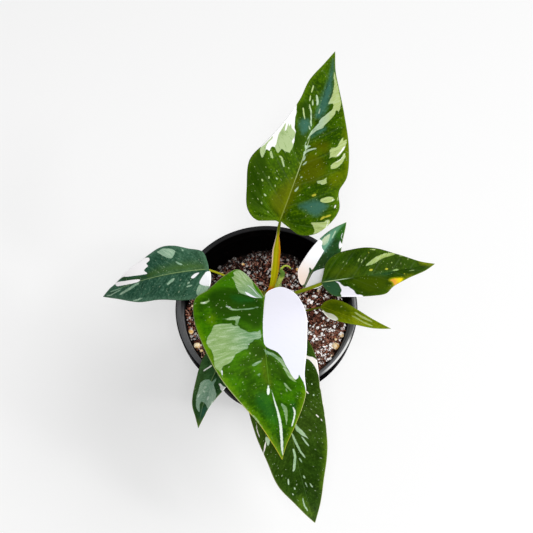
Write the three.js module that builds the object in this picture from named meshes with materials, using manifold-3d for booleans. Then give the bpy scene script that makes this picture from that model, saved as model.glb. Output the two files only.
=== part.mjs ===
// Potted white princess philodendron: a grower's pot of potting mix, a short stem, eight variegated leaves.
// Millimetres, +Z up. The origin is the middle of the pot's underside and -Y is the viewer's side.
import * as THREE from 'three';
import { mergeVertices } from 'three/addons/utils/BufferGeometryUtils.js';
import Module from 'manifold-3d';

const wasm = await Module();
wasm.setup();

// Driving dimensions
const clearance = 0.3;
const potHeight = 105;
const potRadius = 60;
const footRadius = 42;
const wallThickness = 1.2;
const floorThickness = 1.6;
const collarHeight = 13;
const collarThickness = 1.3;
const collarTaper = 0.6;
const lipWidth = 4;
const lipRound = 0.8;
const lipDepth = 1.2;
const channelDepth = 2.2;
const footRound = 0.8;
const potSides = 48;
const drainHoles = 8;
const drainRadius = 4.5;
const drainRing = 31;
const soilHeight = 81;
const soilRings = 8;
const soilBank = 14;
const bankStart = 22;
const bankEnds = [30, -6];
const soilGrains = 30;
const grainSize = [1.6, 3.1];
const grainBand = [10, 48];
const stemFoot = 46;
const stemTop = 124;
const stemRadius = 4.2;
const stemTopRadius = 3;
const stemTipRadius = 1.2;
const nodeSwell = 0.35;
const nodeNeck = 0.2;
const nodeHeight = 3;
const bladeThickness = 0.8;
const notchDepth = 1;
const ribDepth = 0.9;
const petioleSides = 8;
const petioleSteps = 12;
const petioleRun = 5;
const sheathSwell = 0.8;
const sheathFlare = 1.8;
const bladeRows = 17;
const bladeColumns = 4;
const fanShare = 0.3;

const colours = {
  potBlack: 0x16171a,
  soilBrown: 0x3a241c,
  stemGreen: 0x7d7a2a,
  leafGreen: 0x2f6a1f,
  leafDark: 0x1d4429,
  leafOlive: 0x6f7f2b,
  leafPale: 0xb9cf9a,
  newGreen: 0x9fb53a,
  bract: 0xd8cfa6,
};

// Each leaf in its own frame: base is the petiole's joint, heading turns from +Y towards +X, rise and droop
// are the midrib's pitch at the base and at the tip, sweep is its turn to the right on the way. Outline
// points are [across, along] from the notch round the lobe to the tip, left and right seen from the petiole.
// A stalk's sheath lies across its facing, which is the way that it leaves the stem unless given.
const leaves = [
  {
    name: 'leaf_front',
    colour: colours.leafGreen,
    base: [-1.5, -22.5, 168],
    length: 101,
    heading: 181.5,
    sweep: -19,
    rise: 16,
    droop: -62,
    roll: -10,
    fold: [10, 12],
    arch: [0.14, 0.16],
    halfWidth: 38,
    ripple: { height: 1.2, waves: 3, phase: [0.4, 1.6] },
    left: [[-3, -6], [-11, -9], [-20, -3], [-25, 12], [-24, 31], [-21, 48], [-20, 62], [-12, 78], [-4, 91]],
    right: [[5, -8], [16, -17], [25, -10], [33, 1], [41, 8], [38, 24], [28, 44], [11, 69], [4, 86]],
    stalk: { node: 119, leave: [180, 72], reach: [18, 18], arrive: 62, radius: 1.2, base: 2.6, sheath: 0.3 },
  },
  {
    name: 'leaf_back',
    colour: colours.leafGreen,
    base: [8, 24, 176],
    length: 120,
    heading: 25,
    sweep: -14,
    rise: 34,
    droop: -12,
    roll: 0,
    fold: [14, 16],
    arch: [0.14, 0.14],
    halfWidth: 36,
    ripple: { height: 1.6, waves: 3.5, phase: [2.2, 0.6] },
    left: [
      [-5, -1], [-13, -4.5], [-21, 0], [-26, 11], [-30, 27],
      [-25, 41], [-17, 60], [-13, 75], [-11, 90], [-5, 106],
    ],
    right: [
      [4, 0.5], [14, -3], [24, 1], [30, 9], [32, 18], [28, 27],
      [29.5, 37], [24, 54], [16, 71], [8, 89], [3, 103],
    ],
    stalk: {
      node: 122, leave: [80, 50], reach: [12, 16], arrive: 58, radius: 0.9,
      base: 2.7, sheath: 0.82, flare: 4.5, facing: 15,
    },
  },
  {
    name: 'leaf_left',
    colour: colours.leafDark,
    base: [-36.5, 6.5, 146],
    length: 72.5,
    heading: -99.5,
    sweep: 1,
    rise: 12,
    droop: -42,
    roll: 0,
    fold: [14, 16],
    arch: [0.12, 0.12],
    halfWidth: 20,
    ripple: { height: 0.9, waves: 2.5, phase: [1.1, 2.9] },
    left: [[-5, -1.5], [-14, 1], [-20, 8], [-20, 17], [-17, 31], [-14, 45], [-6, 61]],
    right: [[5, -0.5], [12, 2], [15, 10], [18, 19], [18, 29], [12, 43], [6, 58]],
    stalk: { node: 119, leave: [-82, 42], reach: [14, 10], arrive: 34, radius: 0.7, base: 2.4, sheath: 0.3 },
  },
  {
    name: 'leaf_right',
    colour: colours.leafDark,
    base: [34, -5, 152],
    length: 76,
    heading: 88.5,
    sweep: -24,
    rise: 16,
    droop: -30,
    roll: 0,
    fold: [20, 22],
    arch: [0.12, 0.12],
    halfWidth: 20,
    ripple: { height: 0.8, waves: 2.5, phase: [0.3, 2.0] },
    left: [[-4, 0.5], [-12, 4], [-17, 12], [-18.5, 25], [-16, 37], [-10, 51], [-3.5, 64]],
    right: [[5, 1], [12, 6], [14, 14], [16, 27], [15.5, 34], [11, 40], [7, 51], [4, 64]],
    stalk: { node: 108, leave: [98, 56], reach: [14, 12], arrive: 46, radius: 1.1, base: 2.5, sheath: 0.3 },
  },
  {
    name: 'leaf_upper_right',
    colour: colours.leafPale,
    base: [24, 0, 136],
    length: 49,
    heading: 28,
    sweep: 12.5,
    rise: 28,
    droop: 0,
    roll: -8,
    fold: [24, 24],
    arch: [0.1, 0.1],
    halfWidth: 14,
    ripple: { height: 0.5, waves: 2, phase: [0.8, 2.4] },
    left: [[-4, 0.5], [-8, 6], [-8.5, 12], [-7.5, 24], [-5, 37]],
    right: [[4, -0.5], [11, 3.5], [14.5, 13], [13, 24], [7, 36], [3, 44]],
    stalk: { node: 103, leave: [84, 62], reach: [12, 9], arrive: 50, radius: 0.85, base: 2.2, sheath: 0.3 },
  },
  {
    name: 'leaf_lower_right',
    colour: colours.leafOlive,
    base: [35.5, -7.5, 120],
    length: 48.5,
    heading: 119,
    sweep: -29,
    rise: 14,
    droop: -34,
    roll: 12,
    fold: [42, 42],
    arch: [0.1, 0.1],
    halfWidth: 12,
    ripple: { height: 0.4, waves: 2, phase: [0.2, 1.9] },
    left: [[-4, 1], [-8, 6], [-8.5, 13], [-6.5, 21], [-3.5, 31], [-1.5, 40]],
    right: [[4, 2], [8, 8], [7, 15], [5, 25], [3.5, 35]],
    stalk: { node: 88, leave: [106, 22], reach: [14, 12], arrive: 56, radius: 0.75, base: 2.2, sheath: 0.25 },
  },
  {
    name: 'leaf_low_front',
    colour: colours.leafDark,
    base: [12.5, -37, 126],
    length: 116.5,
    heading: 184.7,
    sweep: -31.8,
    rise: 14,
    droop: -58,
    roll: 0,
    fold: [14, 14],
    arch: [0.15, 0.15],
    halfWidth: 28,
    ripple: { height: 1.2, waves: 3, phase: [2.6, 0.9] },
    left: [[-4, -6], [-12, -6], [-19, 9], [-20.5, 29], [-21.5, 48], [-19, 68], [-12, 89], [-7, 102]],
    right: [[5, -5], [14, -3], [22, 12], [25, 30], [22, 50], [18, 66], [15, 81], [8, 96]],
    stalk: { node: 97, leave: [160, 58], reach: [16, 12], arrive: 40, radius: 1.1, base: 2.5, sheath: 0.3 },
  },
  {
    name: 'leaf_low_left',
    colour: colours.leafDark,
    base: [-24, -36.5, 119],
    length: 53,
    heading: -149.5,
    sweep: -19,
    rise: 10,
    droop: -42,
    roll: 0,
    fold: [26, 26],
    arch: [0.1, 0.1],
    halfWidth: 14,
    ripple: { height: 0.6, waves: 2, phase: [1.4, 0.2] },
    left: [[-4, 0], [-10, 6], [-12, 16], [-11, 23], [-7, 32], [-3, 43]],
    right: [[5, -1.5], [10, 3], [11, 14], [9, 26], [7, 38], [3, 46]],
    stalk: { node: 92, leave: [-150, 50], reach: [14, 12], arrive: 40, radius: 0.8, base: 2.3, sheath: 0.3 },
  },
];

// The curled tip of the next leaf and the two papery bracts that stand at the crown
const newLeaf = {
  path: [
    [4, 3, 118], [8, 8.5, 124], [10.2, 12, 127.5], [9.3, 13, 130],
    [9.6, 14, 131.8], [11.5, 15.2, 132.8], [14, 15, 132.8], [15.4, 13.6, 132],
  ],
  radii: [1.6, 1.7, 1.7, 1.3, 0.8, 0.6, 0.5, 0.4],
};
const bracts = [
  {
    name: 'bract_right',
    path: [[3.5, 2, 115], [6.8, 6, 120], [9, 10, 125.5]],
    widths: [3.4, 3.1, 0.7],
    facing: 20,
  },
  {
    name: 'bract_left',
    path: [[-2.5, -1, 115], [-4.5, 0, 119.5], [-6.5, 1.5, 123.5]],
    widths: [3.2, 2.6, 0.7],
    facing: -70,
  },
];
const bractThickness = 0.7;

// Solids and booleans

function solidOf(positions, triangles) {
  const geometry = new THREE.BufferGeometry();
  geometry.setAttribute('position', new THREE.Float32BufferAttribute(positions, 3));
  geometry.setIndex(triangles);
  return toSolid(geometry);
}

function toSolid(geometry) {
  const bare = geometry.clone();
  bare.deleteAttribute('normal');
  bare.deleteAttribute('uv');
  const merged = mergeVertices(bare, 1e-3);
  const corners = Array.from(merged.index.array);
  const kept = [];
  for (let i = 0; i < corners.length; i += 3) {
    const [a, b, c] = corners.slice(i, i + 3);
    if (a !== b && b !== c && c !== a) {
      kept.push(a, b, c);
    }
  }
  const mesh = new wasm.Mesh({
    numProp: 3,
    vertProperties: new Float32Array(merged.attributes.position.array),
    triVerts: new Uint32Array(kept),
  });
  return new wasm.Manifold(mesh);
}

function toGeometry(solid) {
  const mesh = solid.getMesh();
  const geometry = new THREE.BufferGeometry();
  geometry.setAttribute('position', new THREE.BufferAttribute(new Float32Array(mesh.vertProperties), 3));
  geometry.setIndex(new THREE.BufferAttribute(new Uint32Array(mesh.triVerts), 1));
  return largestPiece(geometry);
}

// Keeps the connected body with the most triangles, so that no cut leaves a loose scrap
function largestPiece(geometry) {
  const index = geometry.index.array;
  const parent = Array.from({ length: geometry.attributes.position.count }, (_, i) => i);
  const find = (i) => {
    let root = i;
    while (parent[root] !== root) {
      parent[root] = parent[parent[root]];
      root = parent[root];
    }
    return root;
  };
  for (let i = 0; i < index.length; i += 3) {
    parent[find(index[i])] = find(index[i + 1]);
    parent[find(index[i + 1])] = find(index[i + 2]);
  }
  const groups = new Map();
  for (let i = 0; i < index.length; i += 3) {
    const root = find(index[i]);
    if (!groups.has(root)) {
      groups.set(root, []);
    }
    groups.get(root).push(index[i], index[i + 1], index[i + 2]);
  }
  const largest = [...groups.values()].sort((a, b) => b.length - a.length)[0];
  geometry.setIndex(largest);
  const smooth = geometry.toNonIndexed();
  smooth.computeVertexNormals();
  return smooth;
}

// A body turned round the Z axis from a profile of [radius, height] points that starts and ends on the axis
function turned(profile, sides) {
  const points = profile.map(([radius, height]) => new THREE.Vector2(radius, height));
  const geometry = new THREE.LatheGeometry(points, sides);
  geometry.rotateX(Math.PI / 2);
  return toSolid(geometry);
}

function randomSource(seed) {
  let state = seed;
  return () => {
    state = (state * 1664525 + 1013904223) % 4294967296;
    return state / 4294967296;
  };
}

// Pot

const wallFoot = 3;
const channelTop = potHeight - channelDepth;
const channelRadius = potRadius - lipWidth + wallThickness;

function potOuter(height) {
  return footRadius + ((channelRadius - footRadius) * (height - wallFoot)) / (channelTop - wallFoot);
}

function potInner(height) {
  return potOuter(height) - wallThickness;
}

const innerFoot = wallFoot + 1;
const floorRadius = potInner(wallFoot) - floorThickness;

function pot() {
  const collarFoot = potHeight - collarHeight;
  const profile = [
    [0, 0],
    [footRadius - 5 * footRound, 0],
    [footRadius - footRound, footRound],
    [footRadius, wallFoot],
    [channelRadius, channelTop],
    [potRadius - collarThickness, channelTop],
    [potRadius - collarTaper - collarThickness, collarFoot],
    [potRadius - collarTaper, collarFoot],
    [potRadius, potHeight - lipDepth],
    [potRadius - lipRound, potHeight],
    [potRadius - lipWidth + lipRound, potHeight],
    [potInner(potHeight - lipDepth), potHeight - lipDepth],
    [potInner(innerFoot), innerFoot],
    [floorRadius, floorThickness],
    [0, floorThickness],
  ];
  let solid = turned(profile, potSides);
  for (let i = 0; i < drainHoles; i += 1) {
    const angle = (2 * Math.PI * (i + 0.5)) / drainHoles;
    const drill = new THREE.CylinderGeometry(drainRadius, drainRadius, 4 * floorThickness, 12);
    drill.rotateX(Math.PI / 2);
    drill.translate(drainRing * Math.cos(angle), drainRing * Math.sin(angle), 0);
    solid = solid.subtract(toSolid(drill));
  }
  return solid;
}

// Potting mix: a bumpy surface with grains of perlite and bark sunk into it

// The mix is banked up against the wall at the front and, between the bank's two ends, along the sides
function soilSurface(x, y) {
  const { smoothstep } = THREE.MathUtils;
  const outwards = smoothstep(Math.hypot(x, y), bankStart, potInner(soilHeight));
  const bank = soilBank * outwards * smoothstep(-y, -bankEnds[0], -bankEnds[1]);
  const swell = 1.1 * Math.sin(0.11 * x + 0.9) * Math.cos(0.13 * y - 0.4);
  const clods = 0.8 * Math.sin(0.47 * x - 0.31 * y + 1.7) + 0.6 * Math.sin(0.62 * y + 0.28 * x);
  const mound = 2.5 * Math.exp(-(x * x + y * y) / 300);
  return soilHeight + swell + clods + mound + bank;
}

// The mix ends just short of the wall, which leans outwards, so a higher edge lies further out
function soilEdge(across, ahead) {
  let radius = potInner(soilHeight);
  for (let i = 0; i < 4; i += 1) {
    radius = potInner(soilSurface(radius * across, radius * ahead)) - clearance;
  }
  return radius;
}

function soil() {
  const foot = floorThickness + clearance;
  const positions = [];
  const triangles = [];
  const shoulder = innerFoot + clearance;
  const lowRings = [[floorRadius - clearance, foot], [potInner(shoulder) - clearance, shoulder]];
  positions.push(0, 0, foot);
  const ring = (radiusAt, heightAt) => {
    for (let k = 0; k < potSides; k += 1) {
      const angle = (2 * Math.PI * k) / potSides;
      const [across, ahead] = [Math.sin(angle), -Math.cos(angle)];
      const radius = radiusAt(across, ahead);
      positions.push(radius * across, radius * ahead, heightAt(radius * across, radius * ahead));
    }
  };
  lowRings.forEach(([radius, height]) => ring(() => radius, () => height));
  for (let j = soilRings; j >= 1; j -= 1) {
    ring((across, ahead) => (soilEdge(across, ahead) * j) / soilRings, soilSurface);
  }
  positions.push(0, 0, soilSurface(0, 0));
  const rings = lowRings.length + soilRings;
  const last = rings * potSides + 1;
  for (let k = 0; k < potSides; k += 1) {
    const next = (k + 1) % potSides;
    triangles.push(0, 1 + next, 1 + k);
    for (let j = 0; j < rings - 1; j += 1) {
      const a = 1 + j * potSides + k;
      const b = 1 + j * potSides + next;
      triangles.push(a, b, b + potSides, a, b + potSides, a + potSides);
    }
    triangles.push(last, 1 + (rings - 1) * potSides + k, 1 + (rings - 1) * potSides + next);
  }
  let solid = solidOf(positions, triangles);
  const random = randomSource(7);
  for (let i = 0; i < soilGrains; i += 1) {
    const radius = grainBand[0] + (grainBand[1] - grainBand[0]) * Math.sqrt(random());
    const angle = 2 * Math.PI * random();
    const size = grainSize[0] + (grainSize[1] - grainSize[0]) * random();
    const grain = new THREE.IcosahedronGeometry(size, 0);
    grain.scale(1 + 0.5 * random(), 1, 0.75);
    grain.rotateZ(2 * Math.PI * random());
    const x = radius * Math.cos(angle);
    const y = radius * Math.sin(angle);
    grain.translate(x, y, soilSurface(x, y) + 0.15 * size);
    solid = solid.add(toSolid(grain));
  }
  return solid.subtract(stem(clearance));
}

// Stem, with a ring at the height of each leaf's node

function stem(extra) {
  const profile = [
    [0, stemFoot - extra],
    [0.5 * stemRadius + extra, stemFoot + 2 - extra],
    [stemRadius - nodeNeck + extra, stemFoot + 4 * nodeHeight],
  ];
  const heights = leaves.map((leaf) => leaf.stalk.node).sort((a, b) => a - b);
  const radiusAt = (z) => stemRadius + ((stemTopRadius - stemRadius) * (z - stemFoot)) / (stemTop - stemFoot);
  heights.filter((z, i) => i === 0 || z - heights[i - 1] > nodeHeight / 2).forEach((z) => {
    profile.push([radiusAt(z - nodeHeight) - nodeNeck + extra, z - nodeHeight]);
    profile.push([radiusAt(z) + nodeSwell + extra, z - nodeHeight / 2]);
  });
  profile.push([stemTopRadius + extra, stemTop - 1 + extra]);
  profile.push([stemTipRadius + extra, stemTop + extra]);
  profile.push([0, stemTop + extra]);
  return turned(profile, 12);
}

// Leaves

const radians = THREE.MathUtils.degToRad;

function pointing(heading, pitch) {
  const flat = Math.cos(radians(pitch));
  return new THREE.Vector3(
    Math.sin(radians(heading)) * flat,
    Math.cos(radians(heading)) * flat,
    Math.sin(radians(pitch)),
  );
}

// Walks along the arched midrib and keeps its points, so that a place on it is found by its distance
function midribOf(leaf) {
  const steps = 60;
  const points = [new THREE.Vector3(...leaf.base)];
  for (let i = 0; i < steps; i += 1) {
    const share = (i + 0.5) / steps;
    const ahead = pointing(leaf.heading + leaf.sweep * share, leaf.rise + (leaf.droop - leaf.rise) * share);
    points.push(points[i].clone().addScaledVector(ahead, leaf.length / steps));
  }
  return points;
}

// The blade's frame at a distance along the midrib: place, right hand side and upward normal
function bladeFrame(leaf, midrib, along) {
  const share = THREE.MathUtils.clamp(along / leaf.length, 0, 1);
  const ahead = pointing(leaf.heading + leaf.sweep * share, leaf.rise + (leaf.droop - leaf.rise) * share);
  const spot = share * (midrib.length - 1);
  const low = Math.min(Math.floor(spot), midrib.length - 2);
  const place = midrib[low].clone().lerp(midrib[low + 1], spot - low);
  place.addScaledVector(ahead, Math.min(along, 0));
  const side = new THREE.Vector3().crossVectors(ahead, new THREE.Vector3(0, 0, 1)).normalize();
  const up = new THREE.Vector3().crossVectors(side, ahead);
  const roll = radians(leaf.roll);
  return {
    place,
    side: side.clone().multiplyScalar(Math.cos(roll)).addScaledVector(up, -Math.sin(roll)),
    up: up.clone().multiplyScalar(Math.cos(roll)).addScaledVector(side, Math.sin(roll)),
  };
}

// A point of the blade's middle surface: each half folds up from the midrib, arches down and ripples
function bladePoint(leaf, midrib, across, along) {
  const frame = bladeFrame(leaf, midrib, along);
  const half = across < 0 ? 0 : 1;
  const share = THREE.MathUtils.clamp(along / leaf.length, 0, 1);
  const fold = radians(leaf.fold[half] * (1 - 0.5 * share));
  const out = Math.abs(across);
  const reach = (out / leaf.halfWidth) ** 2;
  const wave = Math.sin(2 * Math.PI * leaf.ripple.waves * share + leaf.ripple.phase[half]);
  const arch = leaf.arch[half] * leaf.halfWidth * reach;
  const lift = out * Math.sin(fold) - arch + leaf.ripple.height * reach * wave;
  return frame.place.addScaledVector(frame.side, across * Math.cos(fold)).addScaledVector(frame.up, lift);
}

function bladeNormal(leaf, midrib, across, along) {
  const step = 0.05;
  if (Math.abs(across) < step) {
    return bladeFrame(leaf, midrib, along).up;
  }
  const at = (x, y) => bladePoint(leaf, midrib, x, y);
  const right = at(across + step, along).sub(at(across - step, along));
  const ahead = at(across, along + step).sub(at(across, along - step));
  return right.cross(ahead).normalize();
}

// The veins fan out of the base for the lobe, then leave the midrib one after another
function veinFoot(leaf, share) {
  if (share <= fanShare) {
    return 0;
  }
  return leaf.length * ((share - fanShare) / (1 - fanShare)) ** 1.15;
}

function blade(leaf) {
  const midrib = midribOf(leaf);
  const positions = [];
  const triangles = [];
  const notch = [0, -notchDepth];
  const tip = [0, leaf.length];
  [leaf.left, leaf.right].forEach((outline, half) => {
    const points = [notch, ...outline, tip].map(([x, y]) => new THREE.Vector2(x, y));
    const margin = new THREE.SplineCurve(points).getSpacedPoints(bladeRows);
    const first = positions.length / 3;
    const across = half === 0 ? -1 : 1;
    margin.forEach((edge, i) => {
      const foot = veinFoot(leaf, i / bladeRows);
      for (let j = 0; j <= bladeColumns; j += 1) {
        const reach = (j / bladeColumns) ** 1.2;
        const x = i === 0 ? 0 : edge.x * reach;
        const y = foot + (edge.y - foot) * reach ** 1.1;
        const middle = bladePoint(leaf, midrib, x, y);
        const normal = bladeNormal(leaf, midrib, x, y);
        const rib = j === 0 ? ribDepth * (1 - 0.85 * THREE.MathUtils.clamp(y / leaf.length, 0, 1)) : 0;
        const top = middle.clone().addScaledVector(normal, bladeThickness / 2);
        const bottom = middle.clone().addScaledVector(normal, -bladeThickness / 2 - rib);
        positions.push(top.x, top.y, top.z, bottom.x, bottom.y, bottom.z);
      }
    });
    const at = (i, j, face) => first + 2 * (i * (bladeColumns + 1) + j) + face;
    const face = (a, b, c) => (across > 0 ? triangles.push(a, b, c) : triangles.push(a, c, b));
    for (let i = 0; i < bladeRows; i += 1) {
      for (let j = 0; j < bladeColumns; j += 1) {
        face(at(i, j, 0), at(i, j + 1, 0), at(i + 1, j + 1, 0));
        face(at(i, j, 0), at(i + 1, j + 1, 0), at(i + 1, j, 0));
        face(at(i, j, 1), at(i + 1, j + 1, 1), at(i, j + 1, 1));
        face(at(i, j, 1), at(i + 1, j, 1), at(i + 1, j + 1, 1));
      }
      const edge = bladeColumns;
      face(at(i, edge, 0), at(i, edge, 1), at(i + 1, edge, 1));
      face(at(i, edge, 0), at(i + 1, edge, 1), at(i + 1, edge, 0));
    }
  });
  return solidOf(positions, triangles);
}

// A closed stalk along a curve, with a half width and a half thickness for each share of its length
function stalkSolid(curve, steps, sides, sizeAt, outward) {
  const positions = [];
  const triangles = [];
  for (let i = 0; i <= steps; i += 1) {
    const share = i / steps;
    const place = curve.getPoint(share);
    const ahead = curve.getTangent(share);
    const side = new THREE.Vector3().crossVectors(ahead, outward).normalize();
    const front = new THREE.Vector3().crossVectors(side, ahead);
    const [width, thickness] = sizeAt(share);
    for (let k = 0; k < sides; k += 1) {
      const angle = (2 * Math.PI * k) / sides;
      const point = place.clone().addScaledVector(side, width * Math.cos(angle));
      point.addScaledVector(front, thickness * Math.sin(angle));
      positions.push(point.x, point.y, point.z);
    }
  }
  for (let k = 0; k < sides; k += 1) {
    const next = (k + 1) % sides;
    for (let i = 0; i < steps; i += 1) {
      const a = i * sides;
      triangles.push(a + k, a + sides + next, a + next, a + k, a + sides + k, a + sides + next);
    }
    if (k > 0 && k < sides - 1) {
      const top = steps * sides;
      triangles.push(0, k, next, top, top + next, top + k);
    }
  }
  return solidOf(positions, triangles);
}

// The petiole leaves the stem as a broad sheath, narrows, and runs on under the base of the midrib
function petiole(leaf, extra) {
  const { node, leave, reach, arrive, radius, base, sheath } = leaf.stalk;
  const { flare = sheathFlare, facing = leave[0] } = leaf.stalk;
  const start = new THREE.Vector3(0, 0, node);
  const joint = bladeFrame(leaf, midribOf(leaf), 0);
  const end = joint.place.clone().addScaledVector(joint.up, -radius);
  const below = bladeFrame(leaf, midribOf(leaf), petioleRun);
  const path = new THREE.CurvePath();
  path.add(new THREE.CubicBezierCurve3(
    start,
    start.clone().addScaledVector(pointing(...leave), reach[0]),
    end.clone().addScaledVector(pointing(leaf.heading, arrive), -reach[1]),
    end,
  ));
  path.add(new THREE.LineCurve3(end, below.place.clone().addScaledVector(below.up, -0.6 * radius)));
  const sizeAt = (share) => {
    const spread = Math.max(0, 1 - share / sheath);
    const slim = 1 - 0.45 * Math.max(0, (share - 0.9) / 0.1);
    const width = radius + (base - radius) * Math.min(1, spread * flare);
    return [width * slim + extra, radius * (1 + sheathSwell * spread) * slim + extra];
  };
  return stalkSolid(path, petioleSteps, petioleSides, sizeAt, pointing(facing, 0));
}

// The crown's small pieces

function curledTip(extra) {
  const curve = new THREE.CatmullRomCurve3(newLeaf.path.map((point) => new THREE.Vector3(...point)));
  const last = newLeaf.radii.length - 1;
  const sizeAt = (share) => {
    const low = Math.min(Math.floor(share * last), last - 1);
    const radius = THREE.MathUtils.lerp(newLeaf.radii[low], newLeaf.radii[low + 1], share * last - low);
    return [radius + extra, radius + extra];
  };
  return stalkSolid(curve, 16, 6, sizeAt, new THREE.Vector3(0, 0.2, 1).normalize());
}

function bractSolid(bract) {
  const curve = new THREE.CatmullRomCurve3(bract.path.map((point) => new THREE.Vector3(...point)));
  const sizeAt = (share) => {
    const low = share < 0.5 ? 0 : 1;
    return [THREE.MathUtils.lerp(bract.widths[low], bract.widths[low + 1], share * 2 - low), bractThickness];
  };
  return stalkSolid(curve, 6, 8, sizeAt, pointing(bract.facing, 0));
}

// Assembly

const plant = new THREE.Group();
plant.name = 'potted_philodendron';

function place(name, solid, colour, roughness) {
  const material = new THREE.MeshStandardMaterial({ color: colour, roughness, metalness: 0 });
  const mesh = new THREE.Mesh(toGeometry(solid), material);
  mesh.name = name;
  plant.add(mesh);
}

place('pot', pot(), colours.potBlack, 0.45);
place('soil', soil(), colours.soilBrown, 0.95);
place('stem', stem(0), colours.stemGreen, 0.55);

const taken = [stem(clearance)];
const carve = (solid) => taken.reduce((left, other) => left.subtract(other), solid);

leaves.forEach((leaf) => {
  const grown = blade(leaf).add(petiole(leaf, 0));
  place(leaf.name, carve(grown), leaf.colour, 0.35);
  taken.push(petiole(leaf, clearance));
});

place('new_leaf', carve(curledTip(0)), colours.newGreen, 0.4);
taken.push(curledTip(clearance));
bracts.forEach((bract) => {
  place(bract.name, carve(bractSolid(bract)), colours.bract, 0.6);
});

export default plant;
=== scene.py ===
from math import cos, pi, radians, sin

import bpy
import numpy as np
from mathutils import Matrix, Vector


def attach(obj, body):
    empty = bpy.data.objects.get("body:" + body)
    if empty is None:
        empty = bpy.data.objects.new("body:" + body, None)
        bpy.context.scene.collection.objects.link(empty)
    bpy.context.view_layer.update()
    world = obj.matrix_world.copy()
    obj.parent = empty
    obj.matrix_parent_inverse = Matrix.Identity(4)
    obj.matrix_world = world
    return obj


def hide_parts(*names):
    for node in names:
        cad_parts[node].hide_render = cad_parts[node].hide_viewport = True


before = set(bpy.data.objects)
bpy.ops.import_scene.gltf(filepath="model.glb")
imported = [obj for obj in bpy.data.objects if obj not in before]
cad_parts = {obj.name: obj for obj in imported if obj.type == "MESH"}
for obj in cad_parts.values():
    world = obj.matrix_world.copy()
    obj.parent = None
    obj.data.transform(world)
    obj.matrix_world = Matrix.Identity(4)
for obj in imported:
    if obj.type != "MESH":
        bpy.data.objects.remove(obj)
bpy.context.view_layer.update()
scene = bpy.context.scene
mm = 0.001
print("frame loaded")


def between(first, second, share):
    return tuple(a + (b - a) * share for a, b in zip(first, second))


def rgb(red, green, blue):
    # screen colour from 0 to 255 to a linear colour with alpha
    parts = [c / 255 for c in (red, green, blue)]
    return tuple(c / 12.92 if c <= 0.04045 else ((c + 0.055) / 1.055) ** 2.4 for c in parts) + (1.0,)


# Node trees: a wire is a socket that can be used in sums

class Wire:
    def __init__(self, graph, socket):
        self.graph, self.socket = graph, socket

    def math(self, operation, *values):
        return self.graph.add("ShaderNodeMath", {"operation": operation}, dict(enumerate((self,) + values)))

    def __add__(self, other):
        return self.math("ADD", other)

    def __sub__(self, other):
        return self.math("SUBTRACT", other)

    def __rsub__(self, other):
        return self.graph.add("ShaderNodeMath", {"operation": "SUBTRACT"}, {0: other, 1: self})

    def __mul__(self, other):
        return self.math("MULTIPLY", other)

    def __truediv__(self, other):
        return self.math("DIVIDE", other)

    def __pow__(self, other):
        return self.math("POWER", other)

    def __gt__(self, other):
        return self.math("GREATER_THAN", other)

    __radd__ = __add__
    __rmul__ = __mul__

    def most(self, other):
        return self.math("MAXIMUM", other)

    def steps(self, low, high):
        # soft step from 0 at low to 1 at high
        return self.graph.add("ShaderNodeMapRange", {"interpolation_type": "SMOOTHSTEP"},
                              {"Value": self, "From Min": low, "From Max": high})


class Graph:
    def __init__(self, tree):
        self.tree = tree

    def add(self, kind, settings=None, sockets=None, out=0):
        node = self.tree.nodes.new(kind)
        for key, value in (settings or {}).items():
            if key == "stops":
                ramp = node.color_ramp
                while len(ramp.elements) < len(value):
                    ramp.elements.new(1.0)
                for element, (place, colour) in zip(ramp.elements, value):
                    element.position, element.color = place, colour
            else:
                setattr(node, key, value)
        for key, value in (sockets or {}).items():
            socket = node.inputs[key]
            if isinstance(value, Wire):
                self.tree.links.new(value.socket, socket)
            else:
                socket.default_value = value
        return Wire(self, node.outputs[out])

    def vector(self, operation, first, second):
        return self.add("ShaderNodeVectorMath", {"operation": operation}, {0: first, 1: second})

    def scaled(self, vector, *sizes):
        return self.vector("MULTIPLY", vector, sizes if len(sizes) == 3 else sizes * 3)

    def noise(self, vector, scale=1.0, detail=2.0, roughness=0.5, out=0):
        return self.add("ShaderNodeTexNoise", {}, {"Vector": vector, "Scale": scale, "Detail": detail,
                                                   "Roughness": roughness}, out)

    def cells(self, vector, scale=1.0, out="Distance"):
        return self.add("ShaderNodeTexVoronoi", {}, {"Vector": vector, "Scale": scale}, out)

    def same(self, value):
        # one number in all three directions
        return self.add("ShaderNodeCombineXYZ", {}, {0: value, 1: value, 2: value})

    def blend(self, factor, first, second):
        return self.add("ShaderNodeMix", {"data_type": "RGBA"}, {0: factor, 6: first, 7: second}, 2)

    def coats(self, colour, *coats):
        # lays one tone after another over a colour, each through its own mask
        for mask, tone in coats:
            colour = self.blend(mask, colour, tone)
        return colour

    def parts(self, vector):
        node = self.add("ShaderNodeSeparateXYZ", {}, {0: vector}).socket.node
        return [Wire(self, socket) for socket in node.outputs]


class Finish(Graph):
    def __init__(self, name, **constants):
        self.material = bpy.data.materials.new(name)
        self.material.use_nodes = True
        super().__init__(self.material.node_tree)
        self.shader = self.tree.nodes["Principled BSDF"]
        for key, value in constants.items():
            self.shader.inputs[key.replace("_", " ")].default_value = value
        self.place = self.add("ShaderNodeTexCoord", out="Object")

    def attribute(self, name, out="Fac"):
        return self.add("ShaderNodeAttribute", {"attribute_name": name}, out=out)

    def give(self, **values):
        for key, value in values.items():
            self.tree.links.new(value.socket, self.shader.inputs[key.replace("_", " ")])

    def bump(self, height, distance, strength=1.0):
        sockets = {"Height": height, "Distance": distance, "Strength": strength}
        self.give(Normal=self.add("ShaderNodeBump", {}, sockets, "Normal"))


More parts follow.
